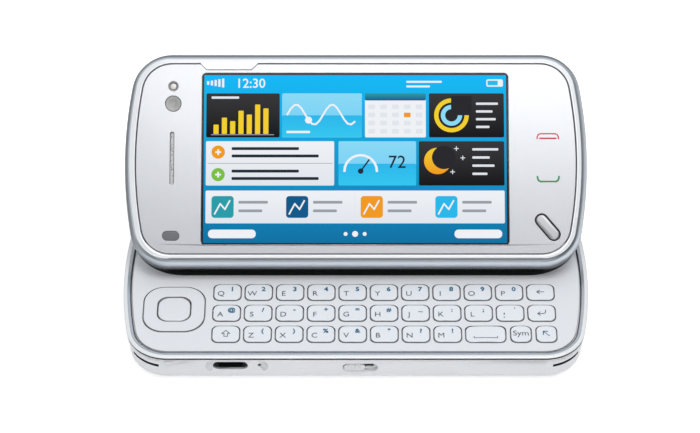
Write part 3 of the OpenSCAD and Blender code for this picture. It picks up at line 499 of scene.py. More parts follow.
def plate(loops, z0, z1, edge=0.08, fine=6, steps=1):
    """A flat plate with holes and softened rims."""
    curve = bpy.data.curves.new("plate", "CURVE")
    curve.dimensions, curve.fill_mode = "2D", "BOTH"
    for arcs in loops:
        knots = []
        for cx, cy, r, a0, a1 in arcs:
            reach = 4 / 3 * math.tan((a1 - a0) / 4) * r
            for a, side in ((a0, 1), (a1, -1)) if r else ((a0, 0),):
                spot = Vector((cx + r * math.cos(a), cy + r * math.sin(a), 0))
                pull = Vector((-math.sin(a), math.cos(a), 0)) * reach * side
                if knots and side == 1 and (spot - knots[-1][0]).length < 1e-3:
                    knots[-1][2] = spot + pull
                else:
                    knots.append([spot, spot + pull if side == -1 else None,
                                  spot + pull if side == 1 else None])
        if (knots[0][0] - knots[-1][0]).length < 1e-3:
            knots[0][1] = knots.pop()[1]
        spline = curve.splines.new("BEZIER")
        spline.bezier_points.add(len(knots) - 1)
        for point, (spot, left, right) in zip(spline.bezier_points, knots):
            point.co = spot
            point.handle_left_type = "FREE" if left else "VECTOR"
            point.handle_right_type = "FREE" if right else "VECTOR"
            point.handle_left, point.handle_right = left or spot, right or spot
        spline.use_cyclic_u, spline.resolution_u = True, fine
    curve.extrude = (z1 - z0) / 2 - edge
    curve.bevel_depth, curve.bevel_resolution, curve.offset = edge, steps, -edge
    bm = curve_mesh(curve)
    weld(bm, 1e-4)
    return move(bm, (0, 0, (z0 + z1) / 2))


def new_object(name, data):
    """An object of the scene that shows some data."""
    made = bpy.data.objects.new(name, data)
    bpy.context.scene.collection.objects.link(made)
    return made


def mesh_of(bm, name):
    """A mesh that holds what was modelled."""
    mesh = bpy.data.meshes.new(name)
    bm.to_mesh(mesh)
    bm.free()
    return mesh


def move(bm, offset, turn=0.0, axis="Z"):
    """Turns a mesh about the origin, then shifts it."""
    if turn:
        bmesh.ops.rotate(bm, verts=bm.verts, cent=(0, 0, 0), matrix=Matrix.Rotation(turn, 3, axis))
    bmesh.ops.translate(bm, verts=bm.verts, vec=offset)
    return bm


def weld(bm, reach):
    """Joins points that lie together and turns all faces outwards."""
    bmesh.ops.remove_doubles(bm, verts=bm.verts, dist=reach)
    bmesh.ops.recalc_face_normals(bm, faces=bm.faces)


def curve_mesh(curve):
    obj = new_object("curve", curve)
    graph = bpy.context.evaluated_depsgraph_get()
    mesh = bpy.data.meshes.new_from_object(obj.evaluated_get(graph))
    bpy.data.objects.remove(obj)
    bpy.data.curves.remove(curve)
    bm = bmesh.new()
    bm.from_mesh(mesh)
    bpy.data.meshes.remove(mesh)
    return bm


def sweep(profile, corner_steps=20, bow_steps=14):
    """Sweeps a closed profile of (inset, height) points round the phone's outline."""
    bm = bmesh.new()
    arcs = outline_arcs(0)
    x, y, r, first, last = arcs[0]
    turn = Matrix.Rotation(first, 4, "Z")
    verts = [bm.verts.new(Vector((x, y, 0)) + turn @ Vector((r - inset, 0, z)))
             for inset, z in profile]
    geom = verts + [bm.edges.new((a, b)) for a, b in zip(verts, verts[1:] + verts[:1])]
    for n, (x, y, r, first, last) in enumerate(arcs):
        if n in (2, 5):
            geom = slide_profile(bm, geom, 2 * arcs[n][0])
        geom = bmesh.ops.spin(bm, geom=geom, cent=(x, y, 0), axis=(0, 0, 1), angle=last - first,
                              steps=bow_steps if n in (0, 3) else corner_steps,
                              use_merge=False, use_duplicate=False)["geom_last"]
    weld(bm, 1e-3)
    return bm


def slide_profile(bm, geom, reach):
    """Carries the profile straight along the long side."""
    edges = [g for g in geom if isinstance(g, bmesh.types.BMEdge)]
    made = bmesh.ops.extrude_edge_only(bm, edges=edges)["geom"]
    verts = [g for g in made if isinstance(g, bmesh.types.BMVert)]
    bmesh.ops.translate(bm, verts=verts, vec=(reach, 0, 0))
    return [g for g in made if not isinstance(g, bmesh.types.BMFace)]


def edge_at(co):
    """How far a point lies inside the phone's outline, and which way the outline faces there."""
    (bow, _, end, _, half), (cx, cy, corner, _, _) = outline_arcs(0)[:2]
    ax, ay = abs(co.x), abs(co.y)
    if math.atan2(ay, ax - bow) < half:
        r, dx, dy = end, ax - bow, ay
    elif ax > cx:
        r, dx, dy = corner, ax - cx, ay - cy
    else:
        r, dx, dy = HALF_D, 0, ay
    reach = math.hypot(dx, dy)
    return r - reach, math.copysign(dx / reach, co.x), math.copysign(dy / reach, co.y)


def inset_of(co):
    return edge_at(co)[0]


def paint(bm, rule):
    """Gives each face the material slot that a rule reads from its middle and normal."""
    for face in bm.faces:
        face.material_index = rule(face.calc_center_median(), face.normal)


def paint_sides(bm, slot, up=0.7):
    """Gives faces that look up the first slot and all others another."""
    paint(bm, lambda middle, normal: 0 if normal.z > up else slot)


def add_rectangle(bm, w, d, rows=1):
    """Adds a flat rectangle about the origin, and gives its points."""
    verts = bmesh.ops.create_grid(bm, x_segments=1, y_segments=rows, size=0.5)["verts"]
    bmesh.ops.scale(bm, verts=verts, vec=(w, d, 1))
    return verts


def round_corners(bm, r, fine):
    """Rounds the corners of a flat shape."""
    bmesh.ops.bevel(bm, geom=bm.verts[:], offset=r, segments=fine, profile=0.5, material=-1,
                    affect="VERTICES", clamp_overlap=False)


def soft_block(w, d, h, r, edge, at=(0, 0, 0), fine=5, steps=2):
    """A rounded block with a softened upper rim, standing on a point."""
    bm = bmesh.new()
    add_rectangle(bm, w, d)
    round_corners(bm, r, fine)
    made = bmesh.ops.extrude_face_region(bm, geom=bm.faces[:])["geom"]
    top = next(g for g in made if isinstance(g, bmesh.types.BMFace))
    bmesh.ops.translate(bm, verts=top.verts, vec=(0, 0, h))
    bmesh.ops.recalc_face_normals(bm, faces=bm.faces)
    if edge:
        bmesh.ops.bevel(bm, geom=list(top.edges), offset=edge, segments=steps, profile=0.5,
                        material=-1, affect="EDGES", clamp_overlap=True)
    return move(bm, at)


def cut_across(bm, shares, half, normal):
    """Cuts a mesh at shares of its half width, so that its top can be bent."""
    for share in shares:
        bmesh.ops.bisect_plane(bm, geom=bm.verts[:] + bm.edges[:] + bm.faces[:],
                               plane_co=Vector(normal) * share * half, plane_no=normal)


def turned(profile, at=(0, 0, 0), lying=False, steps=40):
    """Turns a profile of (radius, height) points about an upright or a lying axis."""
    bm = bmesh.new()
    verts = [bm.verts.new((r, 0, z)) for r, z in profile]
    edges = [bm.edges.new(pair) for pair in zip(verts, verts[1:])]
    bmesh.ops.spin(bm, geom=verts + edges, cent=(0, 0, 0), axis=(0, 0, 1), angle=4 * QUARTER,
                   steps=steps, use_merge=True, use_duplicate=False)
    weld(bm, 1e-4)
    return move(bm, at, QUARTER if lying else 0, "X")


def join(bm, part, slot=None):
    """Adds a part to a mesh, in one material slot."""
    if slot is not None:
        for face in part.faces:
            face.material_index = slot
    mesh = mesh_of(part, "part")
    bm.from_mesh(mesh)
    bpy.data.meshes.remove(mesh)


def lettering(text, height, at, heavy=0.0):
    """Flat lettering, its middle at a point."""
    curve = bpy.data.curves.new("lettering", "FONT")
    curve.body, curve.size, curve.resolution_u, curve.offset = text, height, 3, heavy
    curve.align_x, curve.align_y = "CENTER", "CENTER"
    return move(curve_mesh(curve), at)


def stroke(points, width, at=(0, 0, 0), closed=False):
    """A flat line of one width through points, each length a little above the last."""
    bm = bmesh.new()
    lift = 0
    for (x0, y0), (x1, y1) in zip(points, points[1:] + (points[:1] if closed else [])):
        verts = add_rectangle(bm, math.hypot(x1 - x0, y1 - y0) + width * STROKE_END, width)
        bmesh.ops.rotate(bm, verts=verts, cent=(0, 0, 0),
                         matrix=Matrix.Rotation(math.atan2(y1 - y0, x1 - x0), 3, "Z"))
        bmesh.ops.translate(bm, verts=verts, vec=((x0 + x1) / 2, (y0 + y1) / 2, lift))
        lift += STROKE_LIFT
    return move(bm, at)


def finish_piece(bm, name, body, mats, place=HERE, smooth=35, node=None, bevel=0.0):
    """Makes a piece of a mesh in millimetres, which rides on a body and may stand for a node."""
    bm.transform(Matrix.Scale(MM, 4) @ place)
    mesh = mesh_of(bm, name)
    for mat in mats:
        mesh.materials.append(finish_of(mat))
    piece = new_object(name, mesh)
    mesh.shade_smooth()
    mesh.set_sharp_from_angle(angle=math.radians(smooth))
    if bevel:
        edge = piece.modifiers.new("edge", "BEVEL")
        edge.width, edge.segments, edge.limit_method = bevel * MM, 2, "ANGLE"
        edge.angle_limit = CREASE
    normals = piece.modifiers.new("normals", "WEIGHTED_NORMAL")
    normals.keep_sharp, normals.weight = True, 90
    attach(piece, body)
    if node:
        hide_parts(node)


def stand_in(node, bm, name, mats, place=HERE, smooth=35, bevel=0.0):
    """Makes a piece of a mesh in millimetres that stands for a CAD node."""
    finish_piece(bm, name, frame["nodes"][node]["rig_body"], mats, place, smooth, node, bevel)


def node_mesh(node):
    """A merged copy of a CAD node, in millimetres."""
    bm = bmesh.new()
    bm.from_mesh(frame["nodes"][node].data)
    bmesh.ops.scale(bm, verts=bm.verts, vec=(1 / MM,) * 3)
    bmesh.ops.remove_doubles(bm, verts=bm.verts, dist=2e-4)
    return bm


def from_node(node, name, mats, bevel=0.0, rule=None):
    """A smooth copy of a CAD node that stands for it."""
    bm = node_mesh(node)
    bm.normal_update()
    paint(bm, rule or (lambda middle, normal: 0))
    stand_in(node, bm, name, mats, smooth=30, bevel=bevel)


def dress(node, mat):
    """Gives a CAD node its material."""
    mats = frame["nodes"][node].data.materials
    mats.clear()
    mats.append(finish_of(mat))


# ---- base ----
FLANGE = 0.3  # width and thickness of the flange under a key
HOLE_ROOM = 0.04  # a key hole's room at each side
KEY_HOLE_R, PAD_HOLE_R, SELECT_R = 1.6, 5.2, 2.7
LUG = (1.3, 20.25, 30, 14.52)  # width, length, distance from the middle, place of a deck slot
CROWN = 42  # radius of a key's crowned top
CROWN_CUTS = (-0.7, -0.35, 0, 0.35, 0.7)
LEGEND_LIFT = 0.012
TRIM_SLOT = (0.2, 0.34)  # foot and top of the slot painted dark as shade, from the trim's foot and top
TRIM_BRIGHT, TRIM_INNER = 1.0, 1.8  # insets where the bright rim ends and where the inner wall painted dark as shade starts
WALL_SKIN = 0.7  # inset where the inside of an opening in the wall starts
VENT_X, VENT_Z = 42, (4, 6)
FRONT_Y = -15  # the front wall's openings lie before this
SOCKET = (-31, 5.35)  # middle of the data socket in the front wall
SOCKET_HALF, SOCKET_R = 3, 1.4  # its straight half width and the radius of its ends
JACK = (12, 4.4, 1.9)  # middle of the sound jack's bore in the left end, and a radius round it
SHADOW_FIELD_FRONT = 0.7  # front edge of the dark field that the lid slides over, painted as the lid's shadow along its front edge
FIGURES = dict(zip("qwertyuiop", "1234567890"))
SIGNS = dict(zip("asdfghjklzxcvbnm", "@/-+=#_:;()%&\"?!"))
# lettering on the other keys: text, height, place, boldness, material slot
WORDS = {
    "dot": ((".", 2.6, -1.5, -0.9, 0.02, 1), (",", 2.6, -1.5, 0.35, 0.02, 1),
            ("'", 1.9, 1.2, 1.0, 0.02, 2)),
    "sym": (("Sym", 2.45, 0, 0.1, 0.0, 1),),
}
# lines drawn on the other keys: points, width, height above the key, material slot
GLYPHS = {
    "backspace": (([(0.9, 0), (-0.9, 0)], 0.19, 0, 1),
                  ([(-0.2, 0.62), (-0.92, 0), (-0.2, -0.62)], 0.19, 0.002, 1)),
    "enter": (([(1.0, 0.9), (1.0, 0.2), (0.8, -0.2), (0.45, -0.35), (-1.0, -0.35)], 0.19, 0, 1),
              ([(-0.35, 0.25), (-1.0, -0.35), (-0.35, -0.95)], 0.19, 0.004, 1)),
    "shift": (([(-0.42, -0.95), (0.42, -0.95), (0.42, 0.05), (1.0, 0.05), (0, 1.05), (-1.0, 0.05),
                (-0.42, 0.05)], 0.18, 0, 1),),
    "space": (([(-2.9, -0.85), (-2.9, -1.35), (-1.5, -1.35), (0, -1.35), (1.5, -1.35),
                (2.9, -1.35), (2.9, -0.85)], 0.17, 0, 1),),
    "ctrl": (([(0.75, -0.75), (-0.7, 0.7)], 0.2, 0, 2),
             ([(0.35, 0.8), (-0.75, 0.8), (-0.75, -0.35)], 0.24, 0.002, 2)),
}


def crown(co):
    """How far a key's top falls away from its middle."""
    return (co.x ** 2 + 0.6 * co.y ** 2) / (2 * CROWN)


def bend_top(bm, foot, share=1):
    """Crowns the part of a key above a height."""
    for vert in bm.verts:
        if vert.co.z > foot:
            vert.co.z -= crown(vert.co) * share


class SLIDER_OT_base_shell(bpy.types.Operator):
    """Side wall and underside of the base"""
    bl_idname = "slider_phone.base_shell"
    bl_label = "Base shell"

    def execute(self, context):
        # insides of the vents and of the data socket's opening painted near black as their shade
        def rule(middle, normal):
            vent = abs(middle.x) > VENT_X and VENT_Z[0] < middle.z < VENT_Z[1]
            reach = max(0, abs(middle.x - SOCKET[0]) - SOCKET_HALF)
            socket = math.hypot(reach, middle.z - SOCKET[1]) < SOCKET_R
            inside = inset_of(middle) > WALL_SKIN and middle.y < FRONT_Y
            return 1 if inside and (vent or socket) else 0
        from_node("base_housing", "base_shell", ["shell", "line"], rule=rule)
        return {"FINISHED"}


class SLIDER_OT_base_trim(bpy.types.Operator):
    """Trim ring: a bright rolled rim outside and a smoky slope inside, tones that paint the
    chrome's reflections, with painted shade in the slot and on the inner wall
    """
    bl_idname = "slider_phone.base_trim"
    bl_label = "Base trim"

    def execute(self, context):
        top, foot = BASE_TOP, TRIM_FOOT
        profile = [(0.25, foot), (0.1, foot + 0.04), (0.1, foot + 0.14),
                   (0.32, foot + TRIM_SLOT[0]), (0.32, top - TRIM_SLOT[1]), (0.05, top - 0.32),
                   (0.02, top - 0.24), (0.18, top - 0.10), (0.40, top - 0.03), (0.7, top),
                   (1.0, top - 0.02), (1.4, top - 0.07), (1.74, top - 0.13), (1.86, top - 0.22),
                   (2.0, top - 0.42), (2.0, foot)]
        bm = sweep(profile)
        low, high = foot + TRIM_SLOT[0] - 0.05, top - TRIM_SLOT[1] + 0.03

        # painted shade on the inner wall and in the slot; the bright rim and smoky slope paint the
        # ring's reflections
        def rule(middle, normal):
            inset = inset_of(middle)
            if inset > TRIM_INNER or low < middle.z < high:
                return 2
            return 0 if inset < TRIM_BRIGHT else 1
        paint(bm, rule)
        stand_in("base_trim", bm, "base_trim_ring", ["rim", "chrome", "line"])
        return {"FINISHED"}


class SLIDER_OT_deck(bpy.types.Operator):
    """Keyboard deck with its key holes"""
    bl_idname = "slider_phone.deck"
    bl_label = "Deck"

    def execute(self, context):
        loops = [outline_arcs(DECK_IN)]
        for node in [n for n in frame["nodes"] if n.startswith("keycap_")] + ["dpad_ring"]:
            size, middle = node_size(node), node_middle(node)
            w, d = (side - 2 * FLANGE + 2 * HOLE_ROOM for side in size[:2])
            r = PAD_HOLE_R if node == "dpad_ring" else KEY_HOLE_R
            loops.append(box_arcs(w, d, r, middle.x, middle.y))
        for side in (-1, 1):
            loops.append(box_arcs(LUG[0], LUG[1], 0.1, side * LUG[2], LUG[3]))
        bm = plate(loops, DECK_FOOT, BASE_TOP, 0.06, 8)
        # hole walls and bevels painted grey as the shade in the gaps round the keys
        paint(bm, lambda middle, normal: 1 if normal.z < 0.8 and inset_of(middle) > DECK_IN + 1
              else 0)
        # dark field under the lid: painted shadow below the lid's front edge
        field = [self.field()] + loops[-2:]
        join(bm, plate(field, BASE_TOP - 0.05, BASE_TOP + 0.006, 0.004, 8), 2)
        stand_in("deck_plate", bm, "keyboard_deck", ["deck", "groove", "field"],
                 smooth=8)
        return {"FINISHED"}

    def field(self):
        """Outline of the dark field that the lid slides over, a painted shadow along the lid's
        front edge, hidden at the lid's corners.
        """
        arcs = outline_arcs(DECK_IN + 0.3)
        side, reach, r = math.radians(3.6), 43.5, 13
        (bow, _, end, _, half), spot = arcs[0], SHADOW_FIELD_FRONT + r
        return [(bow, 0, end, side, half), arcs[1], arcs[2],
                (-bow, 0, end, math.pi - half, math.pi - side),
                (-reach, spot, r, math.pi + QUARTER / 4, 3 * QUARTER),
                (reach, spot, r, 3 * QUARTER, 4 * QUARTER - QUARTER / 4)]


class SLIDER_OT_keys(bpy.types.Operator):
    """Crowned key caps with their legends"""
    bl_idname = "slider_phone.keys"
    bl_label = "Keys"

    def execute(self, context):
        for node in sorted(n for n in frame["nodes"] if n.startswith("keycap_")):
            self.key(node, node.split("_")[1])
        return {"FINISHED"}

    def key(self, node, name):
        size, middle, foot = node_size(node), node_middle(node), node_box(node)[0].z
        trim = 2 * (FLANGE + sizes().key_gap / MM - HOLE_ROOM)
        w, d, h = size.x - trim, size.y - trim, KEY_TOP - foot
        bm = soft_block(w, d, h, 1.5, sizes().key_edge / MM)
        cut_across(bm, CROWN_CUTS, w / 2, (1, 0, 0))
        bm.normal_update()
        # sides and flange painted grey as the shade in the gap round the key
        paint_sides(bm, 3)
        bend_top(bm, h / 2)
        join(bm, soft_block(w + trim, d + trim, FLANGE, KEY_HOLE_R + FLANGE, 0), 3)
        for part, slot in self.legend(name):
            bmesh.ops.triangulate(part, faces=part.faces)
            for vert in part.verts:
                vert.co.z += h + LEGEND_LIFT - crown(vert.co)
            join(bm, part, slot)
        move(bm, (middle.x, middle.y, foot))
        stand_in(node, bm, "key_" + name,
                 ["keycap", "legend", "second_legend", "gap"], smooth=30)

    def legend(self, name):
        """Flat legend parts, each with its material slot."""
        if len(name) == 1:
            second = FIGURES.get(name) or SIGNS[name]
            tall, y = 2.0 if name in FIGURES else 1.9, 1.05 if second in "_-=+" else 0.9
            return [(lettering(name.upper(), 2.3, (-1.6, -0.62, 0)), 1),
                    (lettering(second, tall, (1.2, y, 0), 0.065), 2)]
        return ([(lettering(text, height, (x, y, 0), heavy), slot)
                 for text, height, x, y, heavy, slot in WORDS.get(name, ())]
                + [(stroke(points, width, (0, 0, lift), name == "shift"), slot)
                   for points, width, lift, slot in GLYPHS.get(name, ())])


class SLIDER_OT_direction_pad(bpy.types.Operator):
    """Direction ring and select key"""
    bl_idname = "slider_phone.direction_pad"
    bl_label = "Direction pad"

    def execute(self, context):
        middle, gap = node_middle("dpad_ring"), sizes().key_gap / MM + 0.01
        low, high = node_box("dpad_ring")
        size, inner = high.x - low.x - 2 * FLANGE, node_size("select_key").x
        hole = box_arcs(inner + 2 * HOLE_ROOM, inner + 2 * HOLE_ROOM, SELECT_R)
        bm = plate([box_arcs(size - 2 * gap, size - 2 * gap, PAD_HOLE_R - 0.2), hole],
                   low.z, high.z, 0.15, 10, 2)
        # ring sides and flange painted grey as the shade in its gaps
        paint_sides(bm, 1)
        join(bm, plate([box_arcs(size + 2 * FLANGE, size + 2 * FLANGE, PAD_HOLE_R + FLANGE), hole],
                       low.z, low.z + FLANGE, 0.05, 8), 1)
        stand_in("dpad_ring", move(bm, (middle.x, middle.y, 0)), "direction_ring",
                 ["deck", "gap"], smooth=30)
        low, high = node_box("select_key")
        inner -= 2 * gap
        bm = soft_block(inner, inner, high.z - low.z, SELECT_R, 0.25, (0, 0, low.z), 8, 3)
        for share in (-0.6, 0, 0.6):
            for normal in ((1, 0, 0), (0, 1, 0)):
                cut_across(bm, [share], inner / 2, normal)
        bm.normal_update()
        # select key sides painted grey as the shade in its gap
        paint_sides(bm, 1)
        bend_top(bm, low.z + 0.6, 0.8)
        stand_in("select_key", move(bm, (middle.x, middle.y, 0)), "select_cap",
                 ["deck", "gap"], smooth=30)
        return {"FINISHED"}


class SLIDER_OT_slide(bpy.types.Operator):
    """Sliding plates, hinge pins and stay arms"""
    bl_idname = "slider_phone.slide"
    bl_label = "Slide"

    def execute(self, context):
        for node, name, mat in (("slide_sled", "inner_slide_plate", "steel"),
                                ("slide_carriage", "outer_slide_plate", "steel"),
                                ("hinge_pins", "hinge_rods", "pin"),
                                ("stay_arms", "stay_links", "pin")):
            from_node(node, name, [mat], 0.06)
        return {"FINISHED"}


# ---- lid, drawn closed ----
LID_THICK, FACE_THICK = 6.6, 0.9
LID_TOP = LID_Z + LID_THICK
FACE_GAP = 0.12
FACE_FOOT = LID_TOP - FACE_THICK
WINDOW_FOOT = LID_TOP - 0.5  # foot of the small windows in the face plate
ROLL_R = 2.8  # radius of the lid frame's rolled edge
INNER_WALL = 0.7  # inset of the frame's wall inside the lid
LEDGE_IN, LEDGE_THICK = 4.45, 0.6  # ledge that carries the face plate
BAND_START = 2.1  # inset from which the white band is widened to the front
TAB = (-32.2, 14.4, 1.5)  # middle, width and depth of the tab at the top of the frame
SCREEN = (-0.19, 0.17)  # middle of the screen
GLASS_ROOM = 1.2  # how much wider than the picture its opening is
MENU = (48.3, -17.4, 7.6, 2.9, -50)  # middle, length, width and slant of the menu key
MENU_FLANGE, MENU_SINK = 0.4, 0.45  # thickness of its flange, and how deep the flange lies
MENU_SEAT = FACE_FOOT - MENU_SINK - 0.35  # top of the switch below it
SENSOR_X = -46.3
CAMERA_Y, LIGHT_Y, EAR_Y, NEAR_Y = 14.4, 18.9, 0.3, -19.6
MARKS = (48.55, 5.86, -5.2)  # middle of the end and call marks: across, then up for each


def tab_corners(grow, back):
    """Corners of the tab, from its right end to its left."""
    x, w, d = TAB
    edge = HALF_D - sizes().rim_width / MM
    half, lean = w / 2 + grow, edge - back
    return [(x + half - lean, back), (x + w / 2 - d, edge - d - grow),
            (x - w / 2 + d, edge - d - grow), (x - half + lean, back)]


def widen_front(bm):
    """Moves the rim's inner edge away from the front edge."""
    front = sizes().front_rim / MM
    for vert in bm.verts:
        inset = inset_of(vert.co)
        if vert.co.y < 0 and BAND_START < inset < 4:
            vert.co.y -= front * min(1, (inset - BAND_START) / 0.7) * vert.co.y / HALF_D


class SLIDER_OT_lid_frame(bpy.types.Operator):
    """Lid frame: smoky chrome outside with painted reflections, a white band inside"""
    bl_idname = "slider_phone.lid_frame"
    bl_label = "Lid frame"

    def execute(self, context):
        top, seam, rim = LID_TOP, PIVOT.z, sizes().rim_width / MM
        roll = [(ROLL_R * (1 - math.cos(a)), top - ROLL_R + ROLL_R * math.sin(a))
                for a in (math.radians(n * 9) for n in range(6))]
        ledge = FACE_FOOT - LEDGE_THICK
        profile = [(0, seam)] + roll + [
            (1.2, top - 0.52), (1.5, top - 0.34), (1.8, top - 0.22), (1.98, top - 0.17),
            (2.05, top - 0.20), (2.12, top - 0.13), (rim - 0.6, top - 0.05),
            (rim - 0.32, top - 0.02), (rim - 0.2, top - 0.08), (rim - 0.06, top - 0.3),
            (rim, FACE_FOOT), (LEDGE_IN, FACE_FOOT), (LEDGE_IN, ledge), (INNER_WALL, ledge),
            (INNER_WALL, seam)]
        bm = sweep(profile, 24, 16)

        def rule(middle, normal):
            """Inside black, painted shade as a groove line beside the band except along the front,
            all else rolled chrome with painted reflections.
            """
            inset = inset_of(middle)
            if middle.z < FACE_FOOT - 0.25 and inset > INNER_WALL - 0.02:
                return 2
            return 0 if inset < rim - 0.24 or middle.y < 6 - HALF_D else 1
        paint(bm, rule)
        tab = plate([corner_arcs(tab_corners(0, HALF_D - rim + 0.3))], ledge, top, 0.1)
        # the tab's sides painted grey as shade
        paint_sides(tab, 1, 0.8)
        join(bm, tab)
        # per point: its place along the painted reflection ramp, and the share of the front's
        # painted reflections by which way the edge faces
        roll, facing = (bm.verts.layers.float.new(name) for name in ("roll", "facing"))
        for vert in bm.verts:
            inset, right, back = edge_at(vert.co)
            wider = BAND[0] + BAND[1] * back + BAND[2] * right + BAND[3] * abs(right)
            vert[roll] = inset + vert.co.z - top + wider
            vert[facing] = max(0, min(1, 0.35 - 0.65 * back + 0.45 * right))
        widen_front(bm)
        stand_in("lid_bezel", bm, "lid_frame", ["rolled", "groove", "black"],
                 LID, 40)
        return {"FINISHED"}


class SLIDER_OT_face_plate(bpy.types.Operator):
    """Pearl face plate with its openings and call marks"""
    bl_idname = "slider_phone.face_plate"
    bl_label = "Face plate"

    def execute(self, context):
        inset = sizes().rim_width / MM + FACE_GAP
        arcs = outline_arcs(inset)
        arcs[2:2] = corner_arcs(tab_corners(FACE_GAP, HALF_D - inset))
        x, y, length, w, slant = MENU
        gap = 2 * sizes().key_gap / MM
        glass = [side / MM + GLASS_ROOM
                 for side in (sizes().picture_width, sizes().picture_height)]
        loops = [arcs, box_arcs(*glass, 1.2, *SCREEN),
                 pill_arcs(length + gap, w + gap, x, y, math.radians(slant)),
                 circle_arcs(2.05, SENSOR_X, CAMERA_Y), circle_arcs(1.25, SENSOR_X, LIGHT_Y),
                 pill_arcs(13.6, 1.0, SENSOR_X - 0.2, EAR_Y, QUARTER),
                 pill_arcs(4.3, 2.5, SENSOR_X - 0.3, NEAR_Y)]
        bm = plate(loops, FACE_FOOT, LID_TOP, 0.1, 12, 2)
        # bevels and walls of the openings painted grey as shade
        paint_sides(bm, 3, 0.8)
        widen_front(bm)
        for part, slot in self.marks():
            join(bm, part, slot)
        stand_in("face_plate", bm, "pearl_face", ["face", "red", "green", "groove"],
                 LID, 8)
        return {"FINISHED"}

    def marks(self):
        """End mark: an arch over a bar. Call mark: a tray."""
        x, end_y, call_y = MARKS
        z = LID_TOP + 0.004
        side = [(-2.72, -0.75), (-2.66, -0.2), (-2.4, 0.3), (-1.95, 0.55)]
        arch = side + [(-a, b) for a, b in reversed(side)]
        tray = [(a, -b) for a, b in arch]
        return [(stroke(arch, 0.32, (x, end_y + 0.2, z)), 1),
                (stroke([(-2.0, 0), (2.0, 0)], 0.42, (x, end_y - 0.45, z)), 1),
                (stroke(tray, 0.44, (x, call_y + 0.05, z)), 2)]


# ---- picture on the screen ----
TONES = {
    "sky": (0.0, 0.51, 0.97), "deep": (0.0, 0.17, 0.385), "ice": (0.27, 0.74, 0.98),
    "haze": (0.16, 0.64, 0.95), "aqua": (0.02, 0.50, 0.88), "sea": (0.03, 0.60, 0.92),
    "white": (0.92, 0.94, 0.97), "paper": (0.80, 0.84, 0.90), "grey": (0.33, 0.36, 0.40),
    "ink": (0.012, 0.02, 0.035), "black": (0.002, 0.002, 0.003), "coal": (0.035, 0.035, 0.038),
    "smoke": (0.017, 0.017, 0.02), "yellow": (0.95, 0.66, 0.02), "amber": (0.92, 0.34, 0.01),
    "teal": (0.02, 0.35, 0.42), "navy": (0.0, 0.10, 0.26), "leaf": (0.20, 0.55, 0.05),
}
TONE_LIFT = 0.0015  # how far each shape of the picture lies above the last
UPPER, LOWER, CARD_TALL = 11.2, -1.2, 11.4  # middles and height of the two rows of cards


class Picture:
    """Flat coloured shapes, each lying a little above the last."""

    def __init__(self, level):
        self.bm, self.level, self.shapes = bmesh.new(), level, []

    def add(self, part, tone, foot=None):
        """Adds a shape of one tone, or of one that turns to another at its foot."""
        self.level += TONE_LIFT
        heights = [vert.co.y for vert in part.verts]
        self.shapes.append((TONES[tone], TONES[foot or tone], min(heights), max(heights)))
        join(self.bm, move(part, (0, 0, self.level)), len(self.shapes) - 1)

    def tile(self, x, y, w, h, tone, r=0.35, foot=None):
        bm = bmesh.new()
        add_rectangle(bm, w, h)
        if r:
            round_corners(bm, r, 4)
        self.add(move(bm, (x, y, 0)), tone, foot)

    def card(self, x, y, w, tone, foot=None):
        self.tile(x, y, w, CARD_TALL, tone, foot=foot)

    def disc(self, x, y, r, tone, foot=None):
        bm = bmesh.new()
        bmesh.ops.create_circle(bm, cap_ends=True, segments=32, radius=r)
        self.add(move(bm, (x, y, 0)), tone, foot)

    def line(self, points, width, tone):
        self.add(stroke(points, width), tone)

    def words(self, x, y, widths, tone, h=0.5, step=1.3):
        """Short bars that stand for lines of small print."""
        for n, w in enumerate(widths):
            self.tile(x + w / 2, y - n * step, w, h, tone, 0.2)

    def figures(self, text, height, x, y, tone, heavy=0.0):
        self.add(lettering(text, height, (x, y, 0), heavy), tone)

    def mesh(self, place):
        """The finished mesh, with its colours in the attribute that the picture's finish reads."""
        self.bm.transform(Matrix.Scale(MM, 4) @ place)
        mesh = mesh_of(self.bm, "lit_picture")
        tone = mesh.color_attributes.new("tone", "FLOAT_COLOR", "CORNER")
        back = place.inverted() @ Matrix.Scale(1 / MM, 4)
        for face in mesh.polygons:
            head, foot, low, high = self.shapes[face.material_index]
            for loop in face.loop_indices:
                y = (back @ mesh.vertices[mesh.loops[loop].vertex_index].co).y
                part = (y - low) / (high - low)
                tone.data[loop].color = (*[f + (h - f) * part for h, f in zip(head, foot)], 1)
            face.material_index = 0
        return mesh


